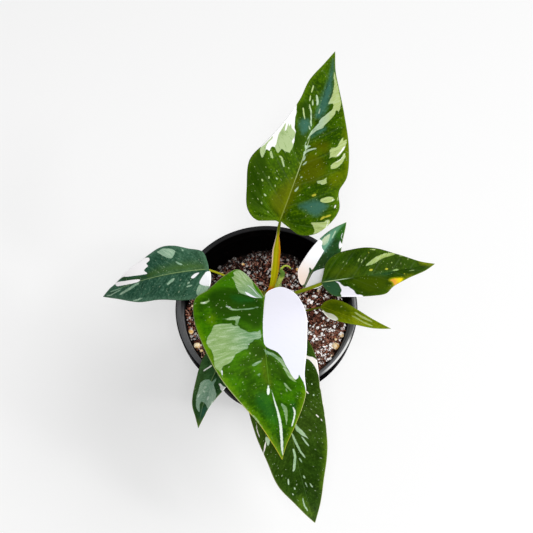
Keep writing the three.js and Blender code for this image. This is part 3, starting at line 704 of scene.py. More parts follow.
frontLeaf = {
    "name": "front", "slot": "leaf_green", "base": (-1.5, -22.5, 168), "length": 101, "heading": 181.5,
    "sweep": -19, "rise": 16, "droop": -62, "roll": -10, "fold": (10, 12), "arch": (0.14, 0.16),
    "halfWidth": 38, "ripple": (1.2, 3, 0.4, 1.6),
    "left": [(-3, -6), (-11, -9), (-20, -3), (-25, 12), (-24, 31), (-21, 48), (-20, 62), (-12, 78),
             (-4, 91)],
    "right": [(5, -8), (16, -17), (25, -10), (33, 1), (41, 8), (38, 24), (28, 44), (11, 69), (4, 86)],
    "stalk": {"height": 119, "leave": (180, 72), "reach": (18, 18), "arrive": 62, "radius": 1.2,
              "base": 2.6},
    "shade": rgb(20, 60, 0), "deep": rgb(24, 66, 0), "fresh": rgb(52, 108, 0), "margin": rgb(78, 128, 4),
    "rib": rgb(92, 138, 40), "midrib": (0.5, 52), "mottled": 0.65, "hem": (rgb(192, 186, 50), 0.85),
    "cream": rgb(206, 212, 150), "stalkTint": (rgb(124, 140, 16), rgb(160, 160, 30)),
    "pales": (rgb(110, 146, 112), rgb(136, 164, 106)), "whites": (rgb(230, 229, 241), rgb(228, 229, 241)),
    "frondTones": (rgb(226, 236, 226), rgb(176, 204, 176)), "veins": 11, "spots": 0.6,
    "tones": {"deep": (rgb(13, 52, 0), 0.85), "lime": (rgb(116, 154, 4), 0.6),
              "teal": (rgb(22, 92, 34), 0.45)},
    "marks": {
        "white": [
            [(-0.5, -1), (0, 5), (0.5, 12), (1, 21), (1, 27), (0, 30.5), (-2.5, 32.5), (-5.5, 34),
             (-7.5, 36), (-9, 38.5), (-10, 41.5), (-11.5, 45), (-13, 48.5), (-14.5, 51), (-15.5, 51.5),
             (-17, 50.5), (-17.5, 49), (-18.5, 51.5), (-19.5, 54), (-20, 57.5), (-20.5, 60), (-23, 57),
             (-27, 48.5), (-30, 20.5), (-28, -1.5), (-21, -12), (-10, -14), (-2, -9)],
            [(12, -1.3), (10, -0.9), (7.5, 0), (4.5, 0.8), (1, 0.2), (5, 1.6), (8.5, 1.7), (11, 0.6)],
            (0.8, [(10.5, -6.5), (7.5, -4.5), (4.5, -1.5), (2, 0)]), (0.8, [(36, 8.7), (34, 8.2)]),
            (1.1, [(26, 41.5), (26, 44)]), (0.8, [(9, 29.2), (10, 29.9)]),
            (1.0, [(22.5, 9.5), (20, 10), (18.5, 11)]),
        ],
        "frond": [
            [(-0.9, 55), (-1.3, 61.5), (-1.9, 67), (-2.1, 73), (-1.8, 79.5), (-1.1, 86), (-0.6, 91),
             (-0.8, 97), (-1.6, 93.5), (-2.6, 86.5), (-3.3, 80), (-3.5, 73.5), (-2.9, 67), (-1.9, 61)],
            [(0.7, 52), (0, 54), (0.4, 56.5), (1.4, 57.4), (2.1, 56.4), (1.7, 54.2)],
            (1.0, [(-11.5, 67.5), (-12, 70), (-11.5, 73), (-9, 79)]),
        ],
        "pale": [
            [(0.5, 32), (-1.5, 33.5), (-4, 34.5), (-6, 36.5), (-8, 38), (-9.5, 40), (-10.5, 43), (-12, 46),
             (-13.5, 48.5), (-15, 51.5), (-15.5, 53), (-13.3, 51.8), (-11.2, 49), (-9.6, 45.5),
             (-8.4, 41.5), (-6.2, 38.8), (-3, 36.2), (0, 35)],
            [(30, 21.5), (29, 20), (27, 19.5), (24.5, 19), (22, 19), (19.5, 18.5), (18, 18), (19, 19),
             (17, 20), (15.5, 19.5), (14, 21), (11.5, 22), (9, 23), (6, 22.5), (4, 22.5), (2.5, 21),
             (2.2, 23), (2, 25.5), (4, 27), (6, 27), (7.5, 28.5), (9.5, 29.5), (10.5, 32), (12.5, 32.5),
             (15, 33.5), (17.5, 34.5), (19, 36.5), (21, 38.5), (23.5, 39.5), (25.5, 40.5), (26, 42),
             (26, 44), (27.5, 42), (29, 41), (30, 39), (30, 36.5), (30.5, 33.5), (31.5, 31.5), (33, 30),
             (33.5, 27.5), (32.5, 25.5), (31, 23.5)],
            [(25, 16.5), (22, 16), (19.5, 15), (16.5, 14.5), (14, 14.5), (14.5, 16), (15.5, 19), (17, 19.5),
             (17, 17), (20, 17)],
            [(20.5, -9.5), (19, -11), (19.5, -13.5), (17.5, -16), (13.5, -16), (10.5, -14.5), (8, -11),
             (6.5, -7), (4.5, -3.5), (1, 0), (5, 1.5), (8.5, 1.5), (12.5, 1), (15, 0.5), (17, -2.5),
             (18.5, -7)],
            (1.2, [(22.5, 9.5), (20.5, 10.5), (17, 11), (14, 10.5), (9, 9.5), (3.5, 7.5)]),
            (1.4, [(8.5, 40.5), (6.5, 40), (3, 38.5)]), (1.1, [(6, 46), (4.5, 45.5)]),
            [(-5, 63), (-6.5, 64.5), (-8, 66.5), (-8, 69.5), (-7.5, 73), (-6, 77), (-6, 69), (-5, 65)],
            (1.3, [(37, 8.5), (35.5, 8.7), (34, 8.2), (32, 7.2)]),
            (1.3, [(-8.5, 52.5), (-10, 55), (-12, 57.5)]), (0.9, [(-9, 55.5), (-9.5, 57.5)]),
            (1.9, [(12.3, 66), (10.7, 69.5), (8.8, 73.5)]),
        ],
        "dots": [
            (25, 10.5), (19, 49), (-15, 61.5), (-10.5, 65.5), (-5, 39.5), (-6.5, 40), (-6.5, 50), (-6, 58),
            (6, 35.5), (11, 36), (15, 48.5), (17.5, 55.5), (22, 43.5), (22, 40.5), (40, 9), (31.5, 15.5),
            (2.5, 37.5), (13, 46), (9, 51), (28, 9.5), (12, 8), (-9, 44),
        ],
        "teal": [
            [(5, 55), (1.5, 57.5), (-0.5, 63), (-1.5, 69), (-1, 75), (2.5, 71.5), (6.5, 66), (9, 60.5),
             (8.5, 56.5)],
            [(-11, 64), (-10.5, 69), (-9, 75), (-13, 68)],
            [(19, 3.5), (11.5, 2.5), (6, 2.7), (8.5, 5), (14.5, 6.5), (18, 5.5)],
        ],
        "olive": [[(1.5, 38), (0.5, 46.5), (-0.5, 52.5), (2, 49), (3, 43.5)]],
        "deep": [
            [(2, 3), (22, -1), (33, 5), (26, 13), (15, 16), (3, 20)],
            [(2, 30), (9, 33), (4, 37), (-4, 41), (-9, 52), (-8, 44), (-2, 36)],
        ],
        "lime": [
            (2.5, [(30.5, 16.5)]), (1.6, [(39, 22), (29.5, 41), (20, 56)]),
            (3.4, [(17, 60), (9, 74), (3.5, 88), (0, 99)]),
            (2.2, [(-20, 60), (-12, 77.5), (-4, 91), (-1, 98)]),
        ],
        "gold": [(0.9, [(13.9, 63.5), (12.9, 66.5), (11.2, 69.5), (9.2, 72.8), (7.2, 77), (4, 86)])],
    },
}
backLeaf = {
    "name": "back", "slot": "leaf_green", "base": (8, 24, 176), "length": 120, "heading": 25, "sweep": -14,
    "rise": 34, "droop": -12, "fold": (14, 16), "arch": (0.14, 0.14), "halfWidth": 36,
    "ripple": (1.6, 3.5, 2.2, 0.6),
    "left": [(-5, -1), (-13, -4.5), (-21, 0), (-26, 11), (-30, 27), (-25, 41), (-17, 60), (-13, 75),
             (-11, 90), (-5, 106)],
    "right": [(4, 0.5), (14, -3), (24, 1), (30, 9), (32, 18), (28, 27), (29.5, 37), (24, 54), (16, 71),
              (8, 89), (3, 103)],
    "stalk": {"height": 122, "leave": (80, 50), "reach": (12, 16), "arrive": 58, "radius": 0.9, "base": 2.5,
              "sheath": 0.76, "flare": 4.5, "facing": 15, "waist": 0.3},
    "shade": rgb(30, 56, 0), "deep": rgb(34, 68, 0), "fresh": rgb(60, 98, 0), "margin": rgb(94, 126, 4),
    "rib": rgb(178, 196, 148), "midrib": (1.0, 50), "ribWarm": 0.85,
    "stalkTint": (rgb(97, 109, 5), rgb(120, 130, 8)), "pales": (rgb(178, 203, 172), rgb(186, 204, 128)),
    "whites": (rgb(246, 247, 248), rgb(249, 249, 249)),
    "frondTones": (rgb(176, 196, 144), rgb(128, 158, 92)), "veins": 12, "spots": 0.6, "jag": 1.1,
    "tones": {"olive": (rgb(94, 98, 0), 0.6), "teal": (rgb(60, 110, 98), 0.8),
              "lime": (rgb(118, 128, 0), 0.5), "deep": (rgb(26, 58, 0), 0.75)},
    "sheathTones": (rgb(198, 190, 10), rgb(158, 156, 4), rgb(240, 208, 188), rgb(216, 138, 18),
                    rgb(206, 98, 26)),
    "marks": {
        "white": [
            [(-29, 38.5), (-26, 37.3), (-24.5, 36.2), (-22.5, 35.5), (-22.3, 37.2), (-20.3, 36.7),
             (-20, 38), (-19.8, 39.7), (-18, 40), (-16.5, 38.5), (-15, 37.5), (-13.5, 40.5), (-11.5, 39.5),
             (-9, 40), (-8.5, 41), (-8, 43.5), (-8, 47.5), (-9, 51.5), (-9, 53.5), (-10.5, 55.5), (-11, 58),
             (-12, 61.5), (-12.5, 66), (-15, 72), (-22, 72), (-33, 50)],
            [(19, 45.5), (20.5, 49), (21, 51.5), (22.5, 53), (22.5, 51.5), (21.5, 48), (20, 45.5)],
            [(18.5, 40), (21, 43), (22.5, 45.5), (23.5, 48.5), (24, 47.5), (22.5, 44), (21, 42)],
            [(25.5, 22), (27.5, 22.5), (26, 21)],
            (1.1, [(29, 17.5), (29, 20)]), (1.0, [(28.5, 10.5), (29, 6)]),
        ],
        "frond": [
            [(-26, 36), (-25.5, 38), (-24.5, 40), (-23.5, 42.5), (-22.5, 44.5), (-21.5, 46.5),
             (-21.5, 44.5), (-22.5, 42.5), (-23, 40.5), (-23, 38), (-22.5, 36), (-22.5, 34.5), (-23, 31.5),
             (-24.5, 33)],
            (1.4, [(-19.5, 37), (-19, 36), (-18, 34.5), (-17, 33.5)]),
            [(-18, 40.5), (-18, 42.5), (-18.5, 46), (-18.5, 49.5), (-17.5, 53.5), (-16.5, 57), (-16, 53),
             (-15.5, 52), (-15, 53), (-15, 57.5), (-14, 55.5), (-13.5, 57.5), (-12.3, 55), (-11, 54),
             (-9.5, 53), (-9, 51.5), (-9, 49.5), (-9.5, 47), (-8, 45), (-8, 43.5), (-8.5, 41), (-8.5, 39.5),
             (-9, 40), (-11.5, 39.5), (-13.5, 40.5), (-14.5, 39), (-15, 37.5), (-16.5, 38.5)],
        ],
        "pale": [
            (1.3, [(-13.5, 36), (-12, 35.5), (-11, 34), (-9, 31)]),
            [(-1.5, 47), (-1.5, 50), (-1, 54.5), (-0.5, 57), (0.5, 59.5), (2, 62.5), (2.5, 65.5),
             (4.5, 68.5), (7, 72), (8, 74.5), (7, 77), (4.5, 76), (4.5, 78.5), (5, 84), (4.5, 91.5),
             (3, 97), (2.5, 101), (4.5, 96.5), (7, 90.5), (10.5, 82), (12, 78.5), (12.5, 74.5), (12, 71.5),
             (11, 73), (10, 72), (10.5, 70.5), (9, 66.5), (6.5, 62), (6, 60), (3, 58), (1, 55.5),
             (-0.5, 53), (-1, 49)],
            [(-1.5, 47), (1, 48), (2.5, 47.5), (1, 46.5), (0, 44.5)],
            (1.6, [(0, 41), (0, 43), (2, 45), (6, 47)]), (1.2, [(0, 41.5), (1, 40), (0.5, 38)]),
            (1.1, [(1.5, 35.5), (3, 38)]), (1.1, [(-9.5, 69.5), (-8.5, 67), (-6.5, 62.5)]),
            (1.2, [(-6.5, 73), (-4, 68), (-2.5, 62.5), (-1.5, 60)]), (1.0, [(-5.5, 77), (-4.5, 73)]),
            (1.6, [(-4, 80.5), (-2.5, 77), (-2, 74)]), (0.9, [(-7.5, 79), (-7, 75.5)]),
            (1.0, [(0.5, 72.5), (0.5, 69)]), (0.8, [(-3, 59.5), (-1.5, 57.5)]),
            (1.0, [(-7.5, 87.5), (-7.5, 81.5)]),
            [(14, 48), (15.5, 50), (17.5, 51), (18.5, 56), (19.5, 57.5), (20, 55.5), (21, 56.5), (22, 56.5),
             (22.5, 53), (22, 49.5), (20.5, 45.5), (17, 44), (15, 42), (15.5, 44.5)],
            [(18, 39), (19, 41.5), (22, 44.5), (23, 48.5), (24.5, 46.5), (24, 42.5), (22, 39), (19, 37.5)],
            (1.2, [(3.5, 22.5), (2.5, 19.5)]), (1.3, [(3, 28), (3.5, 28.5)]),
            [(13, 29), (16.5, 30.5), (18, 32.5), (18.5, 31), (19.5, 29.5), (17, 27.5), (15.5, 28),
             (14, 27.5)],
            [(19, 20), (21.5, 22), (24, 23), (27.5, 22.5), (25.5, 20), (23.5, 19), (20, 18.5)],
            (0.8, [(29, 22), (28.5, 24.5)]),
            [(19, 6), (21.5, 7), (26.5, 9), (27, 10), (29, 11), (30, 9), (29, 4.5), (24.5, 1.5), (23, 0),
             (23, 2.5), (20.5, 5)],
            (1.0, [(-19, 19.5), (-18, 18.5)]), (1.0, [(-15, 21), (-15.5, 22.5)]),
            (1.0, [(-11, 23), (-10, 22.5)]), (1.1, [(-14.5, 11.5), (-13, 11)]),
            (0.9, [(-14.5, 6.5), (-13.5, 5.5)]),
        ],
        "dots": [
            (-25.5, 25), (-22.5, 22), (-21, 18.5), (-15.5, 23), (-8, 23), (-2.5, 26), (-17, 7.5),
            (-8.5, 2.5), (18, 36), (24, 34.5), (4.5, 26.5), (6.5, 28), (8, 19), (27, 18.5), (7.5, 12),
            (-12, 27), (-6, 31), (-19, 27), (-23, 15), (-12, 15), (10, 24), (15, 41), (6, 33),
        ],
        "gold": [
            (1.4, [(24, 9.5), (25, 11), (25, 11.5)]), (1.1, [(26, 11.5), (28.5, 13.5)]),
            (1.3, [(13.5, 20), (15.5, 21.5)]),
        ],
        "deep": [
            [(-12, 3), (-22, 3), (-28, 15), (-29, 27), (-24, 35), (-19, 28), (-17, 14)],
            [(-7, 44), (-3, 48), (-3, 60), (-6, 74), (-11, 72), (-9, 58)],
        ],
        "olive": [
            [(-10, 9.5), (-0.5, 4), (5, 21), (3.5, 33), (-4, 24)],
            [(0, 34), (3, 44), (12, 42), (17, 34), (10, 27), (2, 28)],
            [(3, 49), (11, 52), (13, 46), (5, 46)],
        ],
        "lime": [
            [(19.5, 34), (26.5, 38), (27, 31), (21, 29)],
            (3, [(29.5, 34), (26, 48), (20, 62)]), (2.5, [(0, 1), (-0.5, 18)]),
        ],
        "teal": [
            [(8, 12), (10.5, 14.5), (13.5, 16.5), (18, 18.5), (24.5, 17.5), (21.5, 12), (18.5, 10.5),
             (12, 11.5)],
            [(-8.5, 61), (-4.5, 63), (-2.5, 60), (-2.5, 56), (-4.5, 53.5), (-7, 56)],
            [(2, 66.5), (4.5, 73.5), (4, 85.5), (0, 111.5), (0.5, 94), (-0.5, 80), (-1, 68)],
            (2, [(0.5, 54), (4, 57.5), (7, 60)]),
        ],
    },
}
leftLeaf = {
    "name": "left", "base": (-36.5, 6.5, 146), "length": 72.5, "heading": -99.5, "sweep": 1, "rise": 12,
    "droop": -42, "fold": (14, 16), "arch": (0.12, 0.12), "halfWidth": 20, "ripple": (0.9, 2.5, 1.1, 2.9),
    "left": [(-5, -1.5), (-14, 1), (-20, 8), (-20, 17), (-17, 31), (-14, 45), (-6, 61)],
    "right": [(5, -0.5), (12, 2), (15, 10), (18, 19), (18, 29), (12, 43), (6, 58)],
    "stalk": {"height": 119, "leave": (-82, 42), "reach": (14, 10), "arrive": 34, "radius": 0.7,
              "base": 2.4},
    "shade": rgb(22, 54, 40), "deep": rgb(30, 68, 52), "fresh": rgb(52, 92, 72),
    "margin": rgb(88, 126, 104), "rib": rgb(136, 164, 112), "midrib": (0.6, 60), "ribWarm": 0.1,
    "hem": (rgb(86, 126, 84), 0.4), "stalkTint": (rgb(140, 142, 14), rgb(160, 158, 30)),
    "pales": (rgb(124, 160, 134), rgb(144, 176, 150)), "whites": (rgb(246, 246, 250), rgb(250, 247, 249)),
    "veins": 9, "spots": 0.5, "dotShow": 0.45,
    "tones": {"deep": (rgb(34, 58, 12), 0.9), "olive": (rgb(60, 90, 30), 0.7)},
    "marks": {
        "white": [
            [(15.5, 38.5), (14, 35), (12.5, 34), (11, 34.5), (10, 36.5), (8, 35.5), (6, 38.5), (3.5, 36.5),
             (3, 38), (3.5, 42), (5, 50), (6, 54.5), (3, 63), (3.5, 76), (16, 66), (24, 42)],
            [(4.5, 60), (2, 59.5), (1, 55.5), (0, 49.5), (-0.5, 44.5), (0.5, 42), (1.5, 43), (2.5, 47.5),
             (3.5, 53), (4.5, 57)],
            [(-5.5, 11), (-6.5, 9.5), (-5, 7.5), (-2.5, 5), (-2, 6), (-2.5, 8), (-4, 10)],
            [(-10.5, 6.5), (-7, 5), (-4, 3), (-1.5, 0), (-4, -4), (-13, -4), (-13, 3)],
        ],
        "pale": [
            (2.0, [(-7.4, 25), (-5.5, 22.5), (-4.3, 21)]),
            [(15.5, 29), (16.5, 27.5), (17, 25), (16.5, 22), (15.5, 19.5), (14, 18), (12, 18.5), (10, 20),
             (9.5, 21.5), (12, 25.5), (14, 27.5)],
            (2.2, [(-4.5, 57), (-3.2, 50), (-1.2, 43.5)]), (1.1, [(-1, 68.5), (-2, 64), (-1.5, 56.5)]),
            (1.0, [(0.5, 65), (-0.5, 56)]), (1.1, [(-12, 48), (-12.5, 45), (-12.5, 41.5)]),
            [(-17.5, 9), (-12, 7), (-10.5, 4), (-10.5, 0.5), (-14.5, -2), (-22, 5)],
            (1.2, [(7, 18.5), (5.5, 17), (4.5, 15)]), (1.3, [(-11.5, 14), (-11, 11)]), (1.5, [(14, 13.5)]),
            (1.6, [(-9, 13), (-8.5, 12)]),
        ],
        "dots": [
            (8.5, 16.5), (9, 32), (10.5, 26.5), (5, 26), (2.5, 30), (-11.5, 26), (-10, 18), (-9, 13),
            (-12.5, 9), (6.5, 4.5), (0, 7), (-4, 35.5), (-10.5, 37.5), (11, 10), (8, 8), (-14, 19),
            (-13, 14), (-6, 17), (-15, 25), (12, 29), (-8, 30),
        ],
        "deep": [(1.8, [(6, 54.5), (3.2, 49), (1.8, 42.5), (1.8, 35)])],
        "olive": [[(1, 3), (5, 10), (5, 25), (4, 35), (1, 34)]],
    },
}
rightLeaf = {
    "name": "right", "base": (34, -5, 152), "length": 76, "heading": 88.5, "sweep": -24, "rise": 16,
    "droop": -30, "fold": (20, 22), "arch": (0.12, 0.12), "halfWidth": 20, "ripple": (0.8, 2.5, 0.3, 2.0),
    "left": [(-4, 0.5), (-12, 4), (-17, 12), (-18.5, 25), (-16, 37), (-10, 51), (-3.5, 64)],
    "right": [(5, 1), (12, 6), (14, 14), (16, 27), (15.5, 34), (11, 40), (7, 51), (4, 64)],
    "stalk": {"height": 108, "leave": (98, 56), "reach": (14, 12), "arrive": 46, "radius": 1.1,
              "base": 2.5},
    "shade": rgb(20, 42, 2), "deep": rgb(22, 50, 2), "fresh": rgb(40, 72, 2), "margin": rgb(58, 86, 4),
    "rib": rgb(172, 196, 160), "midrib": (0.95, 14), "stalkTint": (rgb(142, 158, 8), rgb(160, 172, 30)),
    "pales": (rgb(138, 168, 96), rgb(158, 178, 98)), "whites": (rgb(236, 234, 244), rgb(236, 234, 244)),
    "veins": 9, "spots": 0.4, "dotShow": 0.55,
    "tones": {"deep": (rgb(44, 84, 56), 0.85), "teal": (rgb(40, 88, 54), 0.6),
              "olive": (rgb(66, 86, 0), 0.65), "lime": (rgb(150, 158, 0), 0.7)},
    "marks": {
        "white": [
            [(0.5, 7), (2, 10), (4.5, 11.5), (6, 13), (6, 14.5), (8, 16), (10, 17.5), (13, 18.5), (14, 21),
             (17, 21.5), (19, 14), (16, 9.5), (13, 10), (11, 9.5), (9, 10.5), (6.5, 10), (3, 9)],
        ],
        "pale": [
            (1.2, [(-0.5, 43.5), (-0.5, 47)]), (0.9, [(2, 53.5), (2, 57)]),
            [(-6, 27), (-9, 31.5), (-10.5, 34.5), (-11.5, 38), (-12, 42), (-11.5, 51), (-10.5, 48),
             (-9.5, 43.5), (-9, 39), (-6.5, 32.5)],
            (0.9, [(-9.5, 23), (-11.5, 24.5)]), (0.9, [(-8.5, 25), (-10.5, 26.5)]),
            (0.9, [(-16, 32.5), (-15, 36)]), (0.9, [(-9, 50.5), (-8.5, 56)]), (1.2, [(6, 18)]),
            (1.0, [(12, 21.5)]), (1.2, [(-5.5, 44)]),
        ],
        "dots": [
            (-6, 37.5), (1.5, 34.5), (3.5, 49.5), (-14, 31), (-10.5, 14), (-9.5, 16), (-13, 20), (-4, 50),
            (-6, 56), (8, 30), (-11, 28), (5, 25), (-3, 17), (-12, 44),
        ],
        "deep": [[(0, 0.5), (0.5, 7.5), (5, 10), (15, 9), (14, 3), (6, -1)]],
        "gold": [
            (1.2, [(-3, 29), (-3, 30.8)]), (1.1, [(-2, 39), (-2, 40.5)]), (0.9, [(-14, 31)]),
            (0.9, [(3.5, 49.5)]),
        ],
        "orange": [
            [(6.2, 39), (5.8, 41.5), (6, 44.5), (6.5, 47), (8.8, 45), (9.8, 42.5), (11, 40), (8.8, 40.2),
             (7.2, 39.4)],
        ],
        "teal": [[(-0.5, 27.5), (-0.5, 35), (0.5, 42.5), (3, 36.5)]],
        "olive": [
            [(1, 17), (7, 19), (13, 24), (13, 33), (7, 38), (1, 34)],
            [(-6, 5), (-2, 10), (-3, 22), (-7, 18)],
        ],
        "lime": [(1.6, [(12.5, 38.5), (9, 45.5), (6.5, 53)]), (1.4, [(-3, 65), (0.5, 74)])],
    },
}
upperRightLeaf = {
    "name": "upper_right", "slot": "leaf_white", "base": (24, 0, 136), "length": 49, "heading": 28,
    "sweep": 12.5, "rise": 28, "droop": 0, "roll": -8, "fold": (24, 24), "arch": (0.1, 0.1),
    "halfWidth": 14, "ripple": (0.5, 2, 0.8, 2.4),
    "left": [(-4, 0.5), (-8, 6), (-8.5, 12), (-7.5, 24), (-5, 37)],
    "right": [(4, -0.5), (11, 3.5), (14.5, 13), (13, 24), (7, 36), (3, 44)],
    "stalk": {"height": 103, "leave": (84, 62), "reach": (12, 9), "arrive": 50, "radius": 0.85,
              "base": 2.2},
    "shade": rgb(28, 60, 22), "deep": rgb(34, 66, 26), "fresh": rgb(46, 92, 58), "margin": rgb(50, 100, 50),
    "rib": rgb(104, 110, 70), "midrib": (0.9, 13), "stalkTint": (rgb(168, 152, 140), rgb(196, 180, 170)),
    "pales": (rgb(156, 188, 162), rgb(202, 214, 180)), "whites": (rgb(242, 218, 206), rgb(246, 246, 253)),
    "veins": 7, "spots": 0.3, "jag": 0.7, "whiteGlowShare": 0.35,
    "tones": {"teal": (rgb(104, 156, 134), 0.95), "lime": (rgb(50, 112, 28), 0.9),
              "deep": (rgb(40, 66, 24), 0.85)},
    "marks": {
        "white": [
            [(-4.5, 29.5), (-3, 27), (-1.5, 25.5), (0.2, 25), (0.4, 23), (0.4, 17), (0.2, 12.5),
             (-0.5, 10.5), (-1.5, 11), (-2.5, 11), (-1.5, 9.5), (-1, 7.5), (-0.6, 2), (-1, 0), (-5, -2),
             (-12, 3), (-12, 14), (-10.5, 28)],
            [(0.6, 1), (0.7, 3.5), (1, 9), (1.5, 10.5), (3.5, 12.5), (7.5, 15.5), (9, 16), (15, 15),
             (15, 2), (4, -2.5), (1, -1)],
            [(9, 30), (6.8, 32), (5.8, 34), (5.3, 36), (6.2, 35.2), (7.5, 34.4), (9, 33.8)],
            (0.8, [(3.5, 41), (4.5, 38), (6.3, 36.8)]),
        ],
        "pale": [
            [(-4, 27.5), (-5, 30), (-4.5, 33.5), (-3, 36), (-1.5, 33), (-1, 29.5), (-2, 27.5)],
            (1.0, [(-0.5, 34.5), (-1.5, 40)]),
        ],
        "dots": [(6, 16), (3.5, 30), (3, 15.5), (2, 19), (5, 22), (8, 20), (6, 28)],
        "teal": [[(-2, 25), (-5.5, 29.5), (-5, 34), (-3.5, 40), (-0.5, 48.5), (0, 37), (1, 29), (1, 24.5)]],
        "deep": [[(0.5, 12), (1, 24), (5, 22), (8, 16), (3, 13.5)]],
        "lime": [[(0, 38), (0, 49), (4, 43), (4, 37)]],
    },
}
lowerRightLeaf = {
    "name": "lower_right", "slot": "leaf_olive", "base": (35.5, -7.5, 120), "length": 48.5, "heading": 119,
    "sweep": -29, "rise": 14, "droop": -34, "roll": 12, "fold": (42, 42), "arch": (0.1, 0.1),
    "halfWidth": 12, "ripple": (0.4, 2, 0.2, 1.9),
    "left": [(-4, 1), (-8, 6), (-8.5, 13), (-6.5, 21), (-3.5, 31), (-1.5, 40)],
    "right": [(4, 2), (8, 8), (7, 15), (5, 25), (3.5, 35)],
    "stalk": {"height": 88, "leave": (106, 22), "reach": (14, 12), "arrive": 56, "radius": 0.75,
              "base": 2.2, "sheath": 0.25},
    "shade": rgb(58, 78, 0), "deep": rgb(76, 98, 2), "fresh": rgb(124, 138, 4), "margin": rgb(120, 136, 10),
    "rib": rgb(120, 134, 20), "midrib": (0.5, 40), "stalkTint": (rgb(104, 112, 20), rgb(126, 128, 30)),
    "pales": (rgb(158, 172, 80), rgb(168, 182, 100)), "whites": (rgb(214, 214, 204), rgb(220, 220, 206)),
    "veins": 7, "spots": 0.2, "jag": 0.7,
    "tones": {"lime": (rgb(142, 150, 10), 0.7), "deep": (rgb(58, 82, 2), 0.7)},
    "marks": {
        "white": [
            [(3, 2), (4, 5), (3, 7.5), (3.7, 10.5), (5.7, 13), (7, 12.5), (9.5, 10.5), (9.5, 6), (6, 2.5)],
        ],
        "pale": [
            (1.5, [(-1, 20), (-0.5, 23), (1.5, 28.5), (2, 34)]),
            (1.6, [(-4, 21), (-2.5, 25.5), (-1, 33.5)]),
        ],
        "dots": [(-5, 12), (-3, 15), (1, 14), (3, 19)],
        "lime": [[(0.5, 20.5), (2.5, 26), (2.5, 30), (4.5, 23.5)]],
        "deep": [[(-4, 3), (-7, 10), (-4, 17), (-2, 10)]],
    },
}
lowFrontLeaf = {
    "name": "low_front", "base": (12.5, -37, 126), "length": 116.5, "heading": 184.7, "sweep": -31.8,
    "rise": 14, "droop": -58, "fold": (14, 14), "arch": (0.15, 0.15), "halfWidth": 28,
    "ripple": (1.2, 3, 2.6, 0.9),
    "left": [(-4, -6), (-12, -6), (-19, 9), (-20.5, 29), (-21.5, 48), (-19, 68), (-12, 89), (-7, 102)],
    "right": [(5, -5), (14, -3), (22, 12), (25, 30), (22, 50), (18, 66), (15, 81), (8, 96)],
    "stalk": {"height": 97, "leave": (160, 58), "reach": (16, 12), "arrive": 40, "radius": 1.1,
              "base": 2.5},
    "shade": rgb(18, 40, 2), "deep": rgb(24, 50, 4), "fresh": rgb(38, 68, 10), "margin": rgb(60, 90, 24),
    "rib": rgb(74, 110, 50), "midrib": (0.45, 100), "hem": (rgb(170, 180, 90), 0.6),
    "stalkTint": (rgb(110, 126, 24), rgb(140, 146, 36)), "pales": (rgb(152, 182, 144), rgb(184, 208, 176)),
    "whites": (rgb(240, 234, 230), rgb(240, 234, 230)), "veins": 11, "spots": 0.4, "dotShow": 0.6,
    "tones": {"lime": (rgb(94, 130, 20), 0.7)},
    "marks": {
        "white": [
            [(-11.5, 6), (-14.5, 7), (-17.5, 8), (-21, 12), (-23, 20), (-23, 29), (-20.2, 30), (-20, 26),
             (-19.8, 21.5), (-18.5, 16.5), (-16.5, 12.5), (-14, 9.7), (-11.5, 8.7)],
            (1.0, [(-20.6, 28), (-21.3, 40), (-21.4, 52), (-20.3, 62)]), (1.3, [(-11.5, 30), (-13, 32)]),
            (1.2, [(-16, 45), (-17.5, 47)]), (1.1, [(-18.5, 48), (-19, 49.5)]),
            (0.9, [(20.5, 45), (20.2, 50.5), (19, 54)]),
            [(17.5, 57), (18.5, 59.5), (20, 64), (16.5, 58.5), (16, 55)],
        ],
        "pale": [
            [(-3, 48.5), (-5, 51.5), (-7.5, 55), (-9.5, 59.5), (-8, 57.8), (-5.8, 56.3), (-4.2, 54.5),
             (-2.5, 52.5)],
            (1.2, [(-5.5, 57), (-7, 60), (-8.5, 63)]),
            (1.5, [(0, 54), (-1, 58), (-2, 61.5), (-3, 65), (-5, 69.5)]), (0.9, [(-1.5, 69), (-2.5, 72)]),
            (1.8, [(1, 63), (0.7, 66), (1, 68.5), (2, 71.5), (2.8, 74), (4, 75.5)]),
            [(15.5, 53), (13.5, 55.5), (15.5, 58.5), (16.5, 55)],
            (1.1, [(2.5, 94), (3, 98.5), (2, 104)]), (0.9, [(-1.5, 80), (-2, 82)]),
            (0.9, [(-1.5, 84.5), (-2, 88)]), (0.9, [(-4, 86), (-5, 89)]), (1.2, [(8, 79), (8.5, 82.5)]),
            (0.9, [(6, 85), (5.5, 86.5)]), (0.9, [(8, 88), (7.5, 89.5)]), (1.3, [(-15.5, 26)]),
            (1.2, [(-16, 33)]),
        ],
        "dots": [
            (-13.5, 16.5), (-16.5, 40.5), (-13.5, 41.5), (-9.5, 44.5), (-7, 45.5), (12.5, 65), (12.5, 70),
            (-11, 54), (-8.5, 76), (8, 60.5), (-12, 66), (-14, 72), (-10, 82), (11, 76), (-13, 59),
            (-15, 53), (-12, 22), (-14, 37), (-6, 92), (4, 84), (-9, 37),
        ],
        "lime": [
            [(4, 92.5), (2, 99.5), (-0.5, 109.5), (5.5, 97.5)],
            (2.5, [(-21, 60), (-17, 76), (-11, 91)]),
        ],
    },
}
